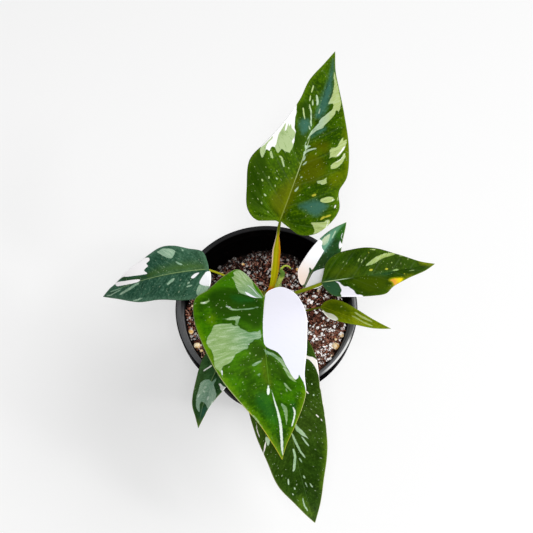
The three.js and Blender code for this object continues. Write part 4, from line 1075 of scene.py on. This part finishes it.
lowLeftLeaf = {
    "name": "low_left", "base": (-24, -36.5, 119), "length": 53, "heading": -149.5, "sweep": -19,
    "rise": 10, "droop": -42, "fold": (26, 26), "arch": (0.1, 0.1), "halfWidth": 14,
    "ripple": (0.6, 2, 1.4, 0.2),
    "left": [(-4, 0), (-10, 6), (-12, 16), (-11, 23), (-7, 32), (-3, 43)],
    "right": [(5, -1.5), (10, 3), (11, 14), (9, 26), (7, 38), (3, 46)],
    "stalk": {"height": 92, "leave": (-150, 50), "reach": (14, 12), "arrive": 40, "radius": 0.8,
              "base": 2.3},
    "shade": rgb(20, 50, 22), "deep": rgb(24, 58, 28), "fresh": rgb(48, 88, 50), "margin": rgb(60, 100, 60),
    "rib": rgb(120, 150, 110), "midrib": (0.7, 45), "stalkTint": (rgb(104, 122, 40), rgb(130, 140, 60)),
    "pales": (rgb(122, 158, 136), rgb(152, 182, 160)), "whites": (rgb(228, 232, 228), rgb(234, 236, 232)),
    "frondTones": (rgb(214, 228, 214), rgb(176, 204, 186)), "veins": 7, "spots": 0.4,
    "tones": {"deep": (rgb(24, 54, 20), 0.9), "teal": (rgb(44, 92, 78), 0.8),
              "lime": (rgb(108, 138, 58), 0.8)},
    "marks": {
        "white": [
            [(-5.5, 22.5), (-7, 21.5), (-9.5, 22.5), (-13, 23), (-12.5, 26), (-8.5, 25.5), (-7, 23.5)],
            (1.7, [(-11, 25), (-9.3, 28.5), (-7.4, 32.5), (-5, 38), (-3.3, 43)]),
            [(7.5, 19), (7, 17.5), (5.5, 15.5), (4.5, 13.5), (3.5, 14), (4, 15.5), (5.5, 17.5), (6.5, 19)],
        ],
        "pale": [
            [(6, 26), (5, 24), (3.5, 22.5), (1.5, 22), (-0.5, 22.5), (-1.5, 21.5), (-3, 19), (-3, 21.5),
             (-3, 24), (-6, 27.5), (-7, 30.5), (-6, 34), (-4.5, 39), (-1, 36.5), (2, 36.5), (1, 42.5),
             (3.5, 40.5), (5, 36), (5.5, 32.5), (5.5, 29.5)],
        ],
        "frond": [
            (0.9, [(4.5, 34), (4, 32)]), (0.8, [(3, 27.5), (1.5, 26.5)]), (0.8, [(-2, 34), (-2, 31.5)]),
            (0.8, [(-5.5, 35.5), (-5.5, 33.5)]), (0.8, [(3, 29), (1.5, 30)]),
        ],
        "dots": [(-6, 14), (4, 8), (-4, 10), (8, 30)],
        "teal": [
            [(0, 43.5), (-0.5, 39.5), (-3, 38), (-3, 42), (-1.5, 47)],
            [(-6, 2), (-9, 8), (-2, 12), (4, 6), (2, 0)],
        ],
        "deep": [
            [(7, 35), (4.5, 42), (0.5, 50), (3, 41.5)],
            [(-2, 31), (-1.5, 36), (-0.3, 36), (-0.5, 31)],
        ],
        "lime": [(2, [(0, 49), (0, 53)])],
    },
}
leaves = [frontLeaf, backLeaf, leftLeaf, rightLeaf, upperRightLeaf, lowerRightLeaf, lowFrontLeaf, lowLeftLeaf]

bladeSizes = {
    "cell": 0.63,
    "row share": 0.86,  # rows are this share of a cell apart
    "columns": 1.12,  # and this many columns fit in a cell
    "thickness": 0.5,
    "edge": 0.7,  # the margin thins out over this width
    "fan": 0.3,  # share of the margin whose veins start at the base
    "groove": 0.22,
    "quilt": 0.16,
    "notch": 1.0,
}
outside = -9.0  # a mark's distance far from all its edges


def pointing(heading, pitch):
    heading, pitch = np.broadcast_arrays(np.radians(heading), np.radians(pitch))
    return np.stack([np.sin(heading) * np.cos(pitch), np.cos(heading) * np.cos(pitch), np.sin(pitch)], -1)


def bladeFrame(leaf, along):
    # place, right hand side and upward normal at a distance along the midrib
    along = np.asarray(along, float)
    share = np.clip(along / leaf["length"], 0, 1)
    bend = leaf["droop"] - leaf["rise"]
    steps = 60
    marks = np.linspace(0, 1, steps + 1)
    middles = (marks[1:] + marks[:-1]) / 2
    strides = pointing(leaf["heading"] + leaf["sweep"] * middles, leaf["rise"] + bend * middles)
    spine = np.vstack([[leaf["base"]], leaf["base"] + np.cumsum(strides, 0) * leaf["length"] / steps])
    place = np.stack([np.interp(share, marks, spine[:, k]) for k in range(3)], -1)
    ahead = pointing(leaf["heading"] + leaf["sweep"] * share, leaf["rise"] + bend * share)
    place = place + ahead * np.minimum(along, 0)[..., None]
    side = unit(np.cross(ahead, (0.0, 0.0, 1.0)))
    up = np.cross(side, ahead)
    roll = radians(leaf["roll"])
    return place, side * cos(roll) - up * sin(roll), up * cos(roll) + side * sin(roll)


def bladePoints(leaf, across, along):
    # each half folds up from the midrib, arches down and ripples towards the margin
    place, side, up = bladeFrame(leaf, along)
    half = (across > 0).astype(int)
    share = np.clip(along / leaf["length"], 0, 1)
    fold = np.radians(np.take(leaf["fold"], half) * (1 - 0.5 * share))
    out = np.abs(across)
    reach = (out / leaf["halfWidth"]) ** 2
    height, waves = leaf["ripple"][:2]
    wave = np.sin(2 * pi * waves * share + np.take(leaf["ripple"][2:], half))
    arch = np.take(leaf["arch"], half) * leaf["halfWidth"] * reach
    lift = out * np.sin(fold) - arch + height * reach * wave
    return place + side * (across * np.cos(fold))[..., None] + up * lift[..., None]


def bladeNormals(leaf, across, along):
    step = 0.05
    right = bladePoints(leaf, across + step, along) - bladePoints(leaf, across - step, along)
    ahead = bladePoints(leaf, across, along + step) - bladePoints(leaf, across, along - step)
    normals = unit(np.cross(right, ahead))
    up = bladeFrame(leaf, along)[2]
    near = np.clip(np.abs(across) / 1.2, 0, 1)[..., None]
    return unit(normals * near + up * (1 - near))


def distanceTo(points, line):
    # distance to a row of points, and how far along the row the nearest place is
    best, where = np.full(len(points), 1e9), np.zeros(len(points))
    if len(line) == 1:
        return np.linalg.norm(points - line[0], axis=1), where
    for i in range(len(line) - 1):
        run = line[i + 1] - line[i]
        t = np.clip(((points - line[i]) @ run) / max(run @ run, 1e-9), 0, 1)
        gap = np.linalg.norm(points - line[i] - t[:, None] * run, axis=1)
        closer = gap < best
        best[closer], where[closer] = gap[closer], (i + t[closer]) / (len(line) - 1)
    return best, where


def markShape(mark):
    # the width of a streak, or None for an outline, and its points
    if isinstance(mark, list):
        return None, np.array(mark, float)
    width, line = mark
    if np.ndim(line) == 0:
        # a fleck lies along the veins, its size drawn from its place
        draw = (abs(mark[0]) * 7.31 + mark[1] * 3.77) % 1
        step = np.array((0.8 * np.sign(mark[0] + 0.01), 0.6)) * (0.15 + 0.75 * (draw * 5 % 1))
        width, line = 0.42 + 0.4 * draw, [mark - step, mark + step]
    return width, np.array(line, float)


def within(points, line):
    # which points lie inside a closed line, by how often the way out of them crosses it
    crossings = np.zeros(len(points), int)
    for a, b in zip(line[:-1], line[1:]):
        if a[1] != b[1]:
            spans = (points[:, 1] >= min(a[1], b[1])) & (points[:, 1] < max(a[1], b[1]))
            crossings += spans & (points[:, 0] < a[0] + (points[:, 1] - a[1]) * (b[0] - a[0]) / (b[1] - a[1]))
    return crossings % 2 == 1


def markField(points, marks):
    # signed distance in millimetres to the nearest edge of the marks, more than 0 inside them
    field = np.full(len(points), outside)
    for mark in marks:
        width, line = markShape(mark)
        margin = 3 + (width or 0)
        near = ((points > line.min(0) - margin) & (points < line.max(0) + margin)).all(1)
        if not near.any():
            continue
        if width is None:
            line = splineThrough(line, 3, closed=True)
            line = np.vstack([line, line[:1]])
            gap, _ = distanceTo(points[near], line)
            value = np.where(within(points[near], line), gap, -gap)
        elif len(line) > 1:
            gap, where = distanceTo(points[near], splineThrough(line, 5))
            value = width / 2 * (0.45 + 0.55 * np.sqrt(np.sin(pi * np.clip(where, 0.001, 0.999)))) - gap
        else:
            value = width / 2 - distanceTo(points[near], line)[0]
        field[near] = np.maximum(field[near], value)
    return field


def bladeGrid(leaf):
    # rows follow the veins, which fan out of the base and then leave the midrib one after another
    ends = (0, -bladeSizes["notch"]), (0, leaf["length"])
    curves = [splineThrough([ends[0], *leaf[side], ends[1]], 24) for side in ("left", "right")]
    longest = max(np.linalg.norm(np.diff(c, axis=0), axis=1).sum() for c in curves)
    widest = max(np.abs(c[:, 0]).max() for c in curves)
    rows = int(longest / bladeSizes["cell"] / bladeSizes["row share"])
    columns = int(widest / bladeSizes["cell"] * bladeSizes["columns"])
    share, reach = np.linspace(0, 1, rows + 1), np.linspace(0, 1, columns + 1)
    foot = leaf["length"] * (np.clip(share - bladeSizes["fan"], 0, 1) / (1 - bladeSizes["fan"])) ** 1.15
    halves = []
    for curve in curves:
        margin = evenly(curve, rows + 1)
        x = margin[:, :1] * reach
        y = foot[:, None] + (margin[:, 1:] - foot[:, None]) * reach ** 1.1
        x[0] = 0
        halves.append((x, y))
    return halves, share, reach, np.vstack([curves[0], curves[1][::-1]])


stalkSteps, ribSteps = 56, 59  # rings on the petiole, and under the midrib
ribReach = 0.95  # the rib ends at this share of the blade


def petiolePath(leaf):
    # from the stem to the joint, then on under the midrib to the tip
    s = leaf["stalk"]
    place, _, up = bladeFrame(leaf, 0.0)
    start, end = np.array([0.0, 0.0, s["height"]]), place - up * s["radius"]
    handles = (start, start + pointing(*s["leave"]) * s["reach"][0],
               end - pointing(leaf["heading"], s["arrive"]) * s["reach"][1], end)
    t = np.linspace(0, 1, 200)[:, None]
    weights = (1 - t) ** 3, 3 * t * (1 - t) ** 2, 3 * t * t * (1 - t), t ** 3
    bend = evenly(sum(w * h for w, h in zip(weights, handles)), stalkSteps)
    along = np.linspace(0, ribReach, ribSteps + 1)[1:] * leaf["length"]
    place, _, up = bladeFrame(leaf, along)
    radius = s["radius"] * (1 - along / leaf["length"]) ** 0.8 + 0.12
    under = place - up * (radius * 0.8 + 0.12)[:, None]
    return bend, under, radius


def crossSections(path, outward, widths, depths, opening, sides=22):
    # rings round the path; opening turns a round section (0) into a gutter that is open towards the stem (1)
    ahead = unit(np.gradient(path, axis=0))
    side = unit(np.cross(ahead[0], outward))
    turns = np.linspace(0, 2 * pi, sides, endpoint=False)
    x, y = np.cos(turns), np.sin(turns)
    points = []
    for i, place in enumerate(path):
        side = unit(side - ahead[i] * (side @ ahead[i]))
        front = np.cross(side, ahead[i])
        low = np.where(y < 0, y * (1 - 1.62 * opening[i]), y)
        points.append(place + side * (x * widths[i])[:, None] + front * (low * depths[i])[:, None])
    return np.concatenate(points), np.tile(x, len(path)), np.tile((y < 0).astype(float), len(path))


class LeafFinish(Finish):
    # knows where it is on a leaf, and holds the noises that its tones share
    def __init__(self, leaf):
        super().__init__(leaf["name"].replace("_", " ") + " leaf", Specular_IOR_Level=0.16,
                         Specular_Tint=(0.7, 1.0, 0.15, 1.0), Emission_Strength=1.0)
        self.place = self.attribute("leafPlace", "Vector")
        self.vein = self.attribute("veinPlace", "Vector")
        self.across, self.along, _ = self.parts(self.place)
        self.share, self.reach, _ = self.parts(self.vein)
        self.toTip = self.along / leaf["length"]
        self.rim, self.under, self.stalk = [self.attribute(key) for key in ("rim", "under", "stalk")]
        self.fibre = self.noise(self.scaled(self.vein, 130, 5, 1.3), 1, 3, 0.6)
        self.streak = self.noise(self.scaled(self.vein, 42, 2.2, 1.3), 1, 3, 0.55)
        self.fine = self.noise(self.scaled(self.place, 1.7), 1, 3, 0.6)
        self.mottle = self.noise(self.scaled(self.place, 0.62), 1, 4, 0.75)
        self.soft = (self.streak - 0.5) * 3.4 + (self.fibre - 0.5) * 1.6 + (self.mottle - 0.5) * 5
        self.lines = ((self.share * leaf["veins"]).math("FRACT") - 0.5).math("ABSOLUTE").steps(0.08, 0.0)


def greenTones(g, leaf):
    # cloudy, streaked along the veins and paler at the margin, with soft zones of other greens
    blotch = g.noise(g.scaled(g.place, 0.065), 1, 3)
    brindle = g.mottle + 0.6 * (g.fibre - 0.5)
    colour = g.coats(
        g.blend((blotch + 0.5 * (g.streak - 0.5)).steps(0.33, 0.67), leaf["deep"], leaf["fresh"]),
        (g.rim.steps(4, 0.4) * 0.4, leaf["margin"]),
        (g.lines * 0.05 * g.reach.steps(1.0, 0.6), leaf["rib"]),
        (brindle.steps(0.5, 0.7) * (0.6 * leaf["mottled"]), leaf["margin"]),
        (brindle.steps(0.5, 0.32) * (0.65 * leaf["mottled"]), leaf["shade"]))
    for key, usual in usualTones.items():
        if key in leaf["marks"]:
            tone, strength = leaf["tones"].get(key, usual)
            blur = 2.0 if key in ("teal", "deep") else 3.6
            colour = g.blend((g.attribute(key) + g.soft).steps(-blur, blur) * strength, colour, tone)
    return colour


def fleckMasks(g, leaf):
    # small flecks, longer along the veins, and a dust of tiny dots
    flecks, dust = g.scaled(g.vein, 46, 9, 5), g.scaled(g.place, 1.05)
    size = (g.parts(g.cells(flecks, 1, "Color"))[0] - (1 - leaf["spots"] * 0.32)).most(0.0) * 1.1
    chosen = g.parts(g.cells(dust, 1, "Color"))[1] > 1 - 0.14 * leaf["spots"]
    return ((size - g.cells(flecks, 1)).steps(-0.03, 0.06) * 0.5,
            (0.24 - g.cells(dust, 1)).steps(-0.05, 0.08) * chosen * 0.5)


def ribAndHem(g, leaf, colour):
    # the midrib's line, and the hem that runs round the margin
    show, end = leaf["midrib"]
    line = (g.across.math("ABSOLUTE") - 0.2 * (1 - g.toTip)).steps(0.22, 0.02) * g.along.steps(-2, 4)
    warm = g.along.steps(0.85 * end, 0.35 * end) * leaf["ribWarm"]
    hemTone, hemShow = leaf["hem"]
    if "cream" in leaf:
        hemTone = g.blend(g.toTip.steps(0.55, 0.85), leaf["cream"], hemTone)
    hemShow = hemShow * (0.4 + 0.6 * g.toTip.steps(0.2, 0.6))
    ribTone = g.blend(warm, leaf["rib"], leaf["stalkTint"][1])
    return g.coats(colour,
                   (line * show * g.along.steps(end + 5, end - 3), ribTone),
                   (g.rim.steps(0.6, 0.15) * hemShow, hemTone))


def markTones(g, leaf, colour, white, dotTone):
    # pale and white marks, whose edges fray into short teeth along the veins
    marks = leaf["marks"]
    jag = leaf["jag"] * ((g.streak - 0.5) * 1.1 + (g.fibre - 0.5) * 1.5)
    grain = g.fibre * 0.75 + g.fine * 0.35
    paleTone = g.coats(g.blend(g.reach.steps(0.15, 0.75), *leaf["pales"]),
                       (grain.steps(0.52, 0.68) * 0.35, rgb(204, 220, 194)),
                       (grain.steps(0.52, 0.38) * 0.35, leaf["fresh"]))
    whiteTone = g.blend(g.toTip.steps(0.04, 0.4).most(g.across.steps(0, 1.5)), *leaf["whites"])
    whiteTone = g.blend((g.fibre - 0.5).steps(0.0, 0.35) * 0.12, whiteTone, rgb(196, 206, 196))
    colour = g.coats(colour,
                     ((g.attribute("pale") + jag * 0.55).steps(-0.1, 0.32) * 0.95, paleTone),
                     (g.attribute("dots").steps(-0.1, 0.3) * leaf["dotShow"], dotTone),
                     ((white + jag * 0.35).steps(0.05, 0.4), whiteTone))
    if "frond" in marks:
        frondTone = g.blend(grain.steps(0.56, 0.42) * 0.7, *leaf["frondTones"])
        colour = g.blend((g.attribute("frond") + jag * 0.4).steps(-0.2, 0.25), colour, frondTone)
    if "gold" in marks:
        gold = (g.attribute("gold") + jag * 0.3).steps(-0.25, 0.3) * 0.85
        colour = g.blend(gold, colour, rgb(196, 192, 62))
    if "orange" in marks:
        burn = g.attribute("orange") + g.soft * 0.25
        amber = g.blend(g.along.steps(40.5, 45), rgb(226, 160, 60), rgb(236, 212, 20))
        colour = g.coats(colour,
                         (burn.steps(-1.6, 0.2) * 0.85, rgb(160, 162, 4)), (burn.steps(-0.3, 0.5), amber))
    return colour


def stalkTone(g, leaf):
    # petiole: striped lengthways and blushed at the foot; the back leaf's has a wide winged sheath
    run = g.attribute("stalkRun")
    band = g.noise(g.scaled(g.vein, 7, 0.4, 2), 1, 3)
    tone = g.blend(band.steps(0.35, 0.7), *leaf["stalkTint"])
    if "sheathTones" in leaf:
        near, far, light, amber, foot = leaf["sheathTones"]
        onSheath, upper = run.steps(0.84, 0.74), run.steps(0.3, 0.5)
        edge = 0.12 * (band - 0.5) - g.share
        tone = g.coats(tone,
                       (onSheath, g.blend(band.steps(0.4, 0.65), near, far)),
                       (edge.steps(-0.62, -0.86) * onSheath * upper, light),
                       (edge.steps(0.3, 0.85) * onSheath * (0.25 + 0.7 * upper), amber),
                       (run.steps(0.16, 0.08) * 0.85, foot))
    return g.blend(run.steps(0.07, 0.02) * 0.7, tone, rgb(190, 92, 30))


def leafFinish(leaf):
    g = LeafFinish(leaf)
    white = g.attribute("white")
    blank = white.steps(-0.2, 0.4)
    dotTone = between(leaf["pales"][1], rgb(222, 230, 190), 0.35)
    colour = g.coats(greenTones(g, leaf), *[(mask, dotTone) for mask in fleckMasks(g, leaf)])
    colour = markTones(g, leaf, ribAndHem(g, leaf, colour), white, dotTone)
    colour = g.coats(colour,
                     (g.under * (0.31 - 0.25 * blank), rgb(142, 160, 126)),
                     (g.stalk, stalkTone(g, leaf)))
    # painted light: the thin white margin glows, and so does a little of all the white of a small leaf,
    # standing in for light that shows through
    whiteGlowShare = g.rim.steps(0.8, 0.2).most(leaf["whiteGlowShare"])
    whiteGlow = g.blend(blank * whiteGlowShare * (1 - g.stalk), (0, 0, 0, 1), (0.3, 0.3, 0.3, 1))
    roughness = 0.42 + 0.12 * g.fine + 0.14 * blank + 0.2 * g.under
    g.give(Base_Color=colour, Roughness=roughness, Emission_Color=whiteGlow)
    g.bump((g.fibre * 0.4 + g.fine * 0.3 + g.lines * 0.4) * white.steps(1, -1), 0.12 * mm, 0.5)
    return g.material


def makeBlade(leaf, gather):
    # both halves, each with an upper and a lower skin that meet at the margin
    halves, share, reach, outline = bladeGrid(leaf)
    rows, columns = len(share), len(reach)
    faces, start = [], 0
    for half, (x, y) in enumerate(halves):
        flat = np.stack([x.reshape(-1), y.reshape(-1)], 1)
        near = np.minimum(distanceTo(flat, outline[::2])[0], 30).reshape(x.shape)
        near[:, -1], near[-1] = 0, 0
        middle, normal = bladePoints(leaf, x, y), bladeNormals(leaf, x, y)
        fields = {key: markField(flat, value) for key, value in leaf["marks"].items()}
        green = smoothShare(0.5 - fields["white"].reshape(x.shape) / 3)
        ends = np.clip(y / leaf["length"], 0, 1)
        edge = np.clip(near / bladeSizes["edge"], 0, 1)
        thick = bladeSizes["thickness"] / 2 * np.sqrt(1 - (1 - edge) ** 2)
        spread = np.abs(x) / (1.4 - 0.9 * ends)
        groove = bladeSizes["groove"] * np.exp(-spread ** 2) * (1 - 0.6 * ends) * edge * green
        fade = np.sin(pi * np.clip(reach, 0, 1)) ** 0.6 * smoothShare(near / 5) * green
        quilt = bladeSizes["quilt"] * np.cos(2 * pi * share * leaf["veins"])[:, None] * fade
        hand = (-1, 1)[half] * np.clip(np.abs(x) / 3, 0, 1)
        vein = np.broadcast_arrays(share[:, None], reach[None, :], hand)
        for side, push in enumerate((thick - groove, -thick)):
            gather(middle + normal * (push + quilt)[..., None], {
                "leafPlace": np.stack([x, y, np.zeros_like(x)], -1), "veinPlace": np.stack(vein, -1),
                "rim": near, "under": side, "stalk": 0, "stalkRun": 1, **fields})
            for i in range(rows - 1):
                for j in range(columns - 1):
                    a = start + i * columns + j
                    face = (a, a + 1, a + columns + 1, a + columns)
                    faces.append(face if half != side else face[::-1])
            start += rows * columns
    return faces, start


def makePetiole(leaf, gather, start):
    # the stalk in its sheath, going on as a rib under the blade
    bend, under, ribRadius = petiolePath(leaf)
    s = leaf["stalk"]
    length = np.linalg.norm(np.diff(bend, axis=0), axis=1).sum()
    run = np.linspace(0, length, stalkSteps) / (length + 5)
    spread = np.clip(1 - run / s["sheath"], 0, 1)
    width = s["radius"] + (s["base"] - s["radius"]) * np.minimum(1, spread * s["flare"])
    width *= 1 - s["waist"] * smoothShare((0.4 - run) / 0.25)
    depth = s["radius"] * (1 + 0.8 * spread)
    settle = 1 - 0.3 * smoothShare((run - 0.85) / 0.1)
    path = np.vstack([bend, under])

    def whole(onStalk, onRib):
        return np.concatenate([np.broadcast_to(onStalk, stalkSteps), np.broadcast_to(onRib, ribSteps)])

    rings, rounds, _ = crossSections(
        path, pointing(s.get("facing", s["leave"][0]), 0), whole(width * settle, ribRadius * 0.85),
        whole(depth * settle, ribRadius * 0.85), whole(smoothShare(spread * 3) * 0.86 + 0.06, 0))
    sides = len(rings) // len(path)
    runs = np.repeat(whole(run, np.linspace(0.96, 1.0, ribSteps)), sides)
    alongs = np.repeat(whole(-8, np.linspace(0, ribReach, ribSteps) * leaf["length"]), sides)
    turns = np.tile(np.arange(sides) / sides, len(path))
    gather(rings, {
        "leafPlace": np.stack([rounds, alongs, turns], 1),
        "veinPlace": np.stack([rounds, runs, turns * 0.5], 1),
        "rim": 20, "under": np.repeat(whole(0, 1), sides), "stalkRun": runs,
        "stalk": np.repeat(whole(1, np.linspace(1, 0.55, ribSteps)), sides),
        **{key: outside for key in leaf["marks"]}})
    return [tuple(c + start for c in f) for f in tubeFaces(len(path), sides)]


def makeLeaf(leaf):
    points, data = [], {}

    def gather(places, values):
        # adds points, with each value spread over them
        points.append(places.reshape(-1, 3))
        count = len(points[-1])
        for key, value in values.items():
            shape = (count, 3) if key.endswith("Place") else (count,)
            value = np.full(shape, float(value)) if np.ndim(value) == 0 else value.reshape(shape)
            data.setdefault(key, []).append(value)

    faces, start = makeBlade(leaf, gather)
    faces += makePetiole(leaf, gather, start)
    attributes = {key: np.concatenate(values) for key, values in data.items()}
    piece = meshPiece("leaf_" + leaf["name"] + "_grown", np.concatenate(points), faces, leafFinish(leaf),
                      attributes)
    rideOn(piece, leaf["slot"], "leaf_" + leaf["name"])
    print("leaf", leaf["name"], "grown:", len(piece.data.polygons), "faces")


for leaf in leaves:
    makeLeaf({**usualLeaf, **leaf, "stalk": {**usualStalk, **leaf["stalk"]}})


# Crown: the next leaf's curled tip, and two papery bracts

curlSizes = {
    "Sides": 14,
    "Girth": 1.0 * mm,
}
curlPath = [  # place and girth
    (4, 3, 118, 1.6), (8, 8.5, 124, 1.7), (10.2, 12, 127.5, 1.7), (9.3, 13, 130, 1.3), (9.6, 14, 131.8, 0.8),
    (11.5, 15.2, 132.8, 0.6), (14, 15, 132.8, 0.5), (15.4, 13.6, 132, 0.4),
]
bractSizes = {"rings": 30, "sides": 24, "depth": 0.5, "opening": 1.12}
bractPaths = {  # middle line, half widths at foot, middle and tip, and the way the back of the sheath faces
    "bract_right": ([(3.5, 2, 115), (6.8, 6, 120), (9, 10, 125.5)], (3.4, 3.1, 0.7), 20),
    "bract_left": ([(-2.5, -1, 115), (-4.5, 0, 119.5), (-6.5, 1.5, 123.5)], (3.2, 2.6, 0.7), -70),
}


def curlFinish():
    g = Finish("new growth", Specular_IOR_Level=0.35)
    x, y, z = g.parts(g.place)
    streak = g.noise(g.place, 700, 3, 0.6)
    cloud = g.noise(g.place, 190, 2)
    # painted shade: the bulb of the curl is painted dark green on its shaded side
    dark = z.steps(126.6 * mm, 128.4 * mm) * y.steps(13.8 * mm, 12.8 * mm) * x.steps(7.6 * mm, 9 * mm)
    hook = y.steps(13.6 * mm, 14.2 * mm) * z.steps(131 * mm, 132 * mm)
    colour = g.coats(g.blend(streak.steps(0.35, 0.7), rgb(158, 184, 60), rgb(196, 210, 112)),
                     (dark * 0.8, rgb(44, 106, 2)),
                     (hook * 0.8, rgb(178, 194, 52)),
                     (cloud.steps(0.55, 0.75) * 0.4, rgb(206, 214, 150)))
    g.give(Base_Color=colour, Roughness=0.36 + 0.2 * streak)
    g.bump(streak, 0.15 * mm)
    return g.material


def makeCurl():
    path = splineThrough(curlPath, 12)
    base = polyline("curl line", path[:, :3])
    base.data.attributes.new("girth", "FLOAT", "POINT").data.foreach_set("value", path[:, 3].copy())
    g = Recipe("curled tip", {**curlSizes, "Finish": curlFinish()})
    line = g.add("GeometryNodeMeshToCurve", {}, {"Mesh": g.size("Shape")})
    girths = g.add("GeometryNodeInputNamedAttribute", {"data_type": "FLOAT"}, {"Name": "girth"})
    ring = g.add("GeometryNodeCurvePrimitiveCircle", {},
                 {"Resolution": g.size("Sides"), "Radius": g.size("Girth")})
    body = g.add("GeometryNodeCurveToMesh", {},
                 {"Curve": line, "Profile Curve": ring, "Scale": girths, "Fill Caps": True})
    body = g.smooth(body, "FACE", {"Shade Smooth": True})
    rideOn(g.make("curled_tip", base, body, g.size("Finish")), "new_growth", "new_leaf")


def bractFinish():
    g = Finish("papery bract", Specular_IOR_Level=0.3)
    run = g.attribute("run")
    vein = g.noise(g.scaled(g.attribute("sheet", "Vector"), 26, 1.5, 1), 1, 3, 0.6)
    colour = g.coats(g.blend(vein.steps(0.35, 0.7), rgb(170, 190, 110), rgb(226, 230, 200)),
                     (run.steps(0.55, 0.95) * 0.6, rgb(186, 160, 110)),
                     (run.steps(0.3, 0.0) * 0.6, rgb(140, 156, 40)))
    g.give(Base_Color=colour, Roughness=0.5 + 0.2 * vein)
    g.bump(vein, 0.15 * mm)
    return g.material


def makeBract(name, finish):
    path, widths, facing = bractPaths[name]
    rings, sides = bractSizes["rings"], bractSizes["sides"]
    path = evenly(splineThrough(path, 16), rings)
    share = np.linspace(0, 1, rings)
    width = np.interp(share, (0, 0.5, 1), widths) * np.sqrt(np.clip((1 - share) * 6, 0.02, 1))
    points, rounds, inner = crossSections(path, pointing(facing, 0), width, width * bractSizes["depth"],
                                          np.full(rings, bractSizes["opening"]), sides)
    run = np.repeat(share, sides)
    piece = meshPiece(name + "_sheath", points, tubeFaces(rings, sides), finish,
                      {"run": run, "sheet": np.stack([rounds, run, inner * 0.3], 1)})
    rideOn(piece, "bract_pale", name)


makeCurl()
paper = bractFinish()
for name in bractPaths:
    makeBract(name, paper)
print("crown made")


# Stage: white floor, broad soft light from the right, camera above the front edge

stage = {
    "floor": 6.0,
    "floorColour": (0.52, 0.52, 0.52, 1.0),
    "floorGlow": 0.86,
    "sky": 0.17,
    "key": {"place": (1.96, 0.38, 2.9), "size": 2.8, "power": 76},
    "edge": {"place": (1.1, -0.35, 1.1), "size": 0.2, "power": 3.0},
    "fill": {"place": (0.03, -0.6, 1.6), "size": 0.5, "power": 10.5},
    "lens": 55.4,
    "eye": (0, -0.212, 0.602),
    "pitch": 64.2,
}


def areaLight(name, settings, target=(0, 0, 0.1)):
    data = bpy.data.lights.new(name, "AREA")
    data.shape, data.size, data.energy = "DISK", settings["size"], settings["power"]
    lamp = placed(name, data)
    lamp.location = settings["place"]
    lamp.rotation_euler = (Vector(target) - lamp.location).to_track_quat("-Z", "Y").to_euler()


def makeStage():
    g = Finish("white sweep", Specular_IOR_Level=0.0, Roughness=0.9, Base_Color=stage["floorColour"],
               Emission_Color=stage["floorColour"], Emission_Strength=stage["floorGlow"])
    half = stage["floor"] / 2
    mesh = bpy.data.meshes.new("floor")
    corners = [(x * half, y * half, 0) for x, y in ((-1, -1), (1, -1), (1, 1), (-1, 1))]
    mesh.from_pydata(corners, [], [(0, 1, 2, 3)])
    mesh.materials.append(g.material)
    placed("floor", mesh)
    scene.world = bpy.data.worlds.new("studio")
    scene.world.use_nodes = True
    sky = scene.world.node_tree.nodes["Background"].inputs
    sky["Color"].default_value, sky["Strength"].default_value = (1, 1, 1, 1), stage["sky"]
    for name in ("key", "edge", "fill"):
        areaLight(name, stage[name])
    scene.view_settings.view_transform = "Standard"
    camera = placed("camera", bpy.data.cameras.new("camera"))
    camera.data.lens = stage["lens"]
    camera.location = stage["eye"]
    camera.rotation_euler = (radians(90 - stage["pitch"]), 0, 0)
    scene.camera = camera


makeStage()
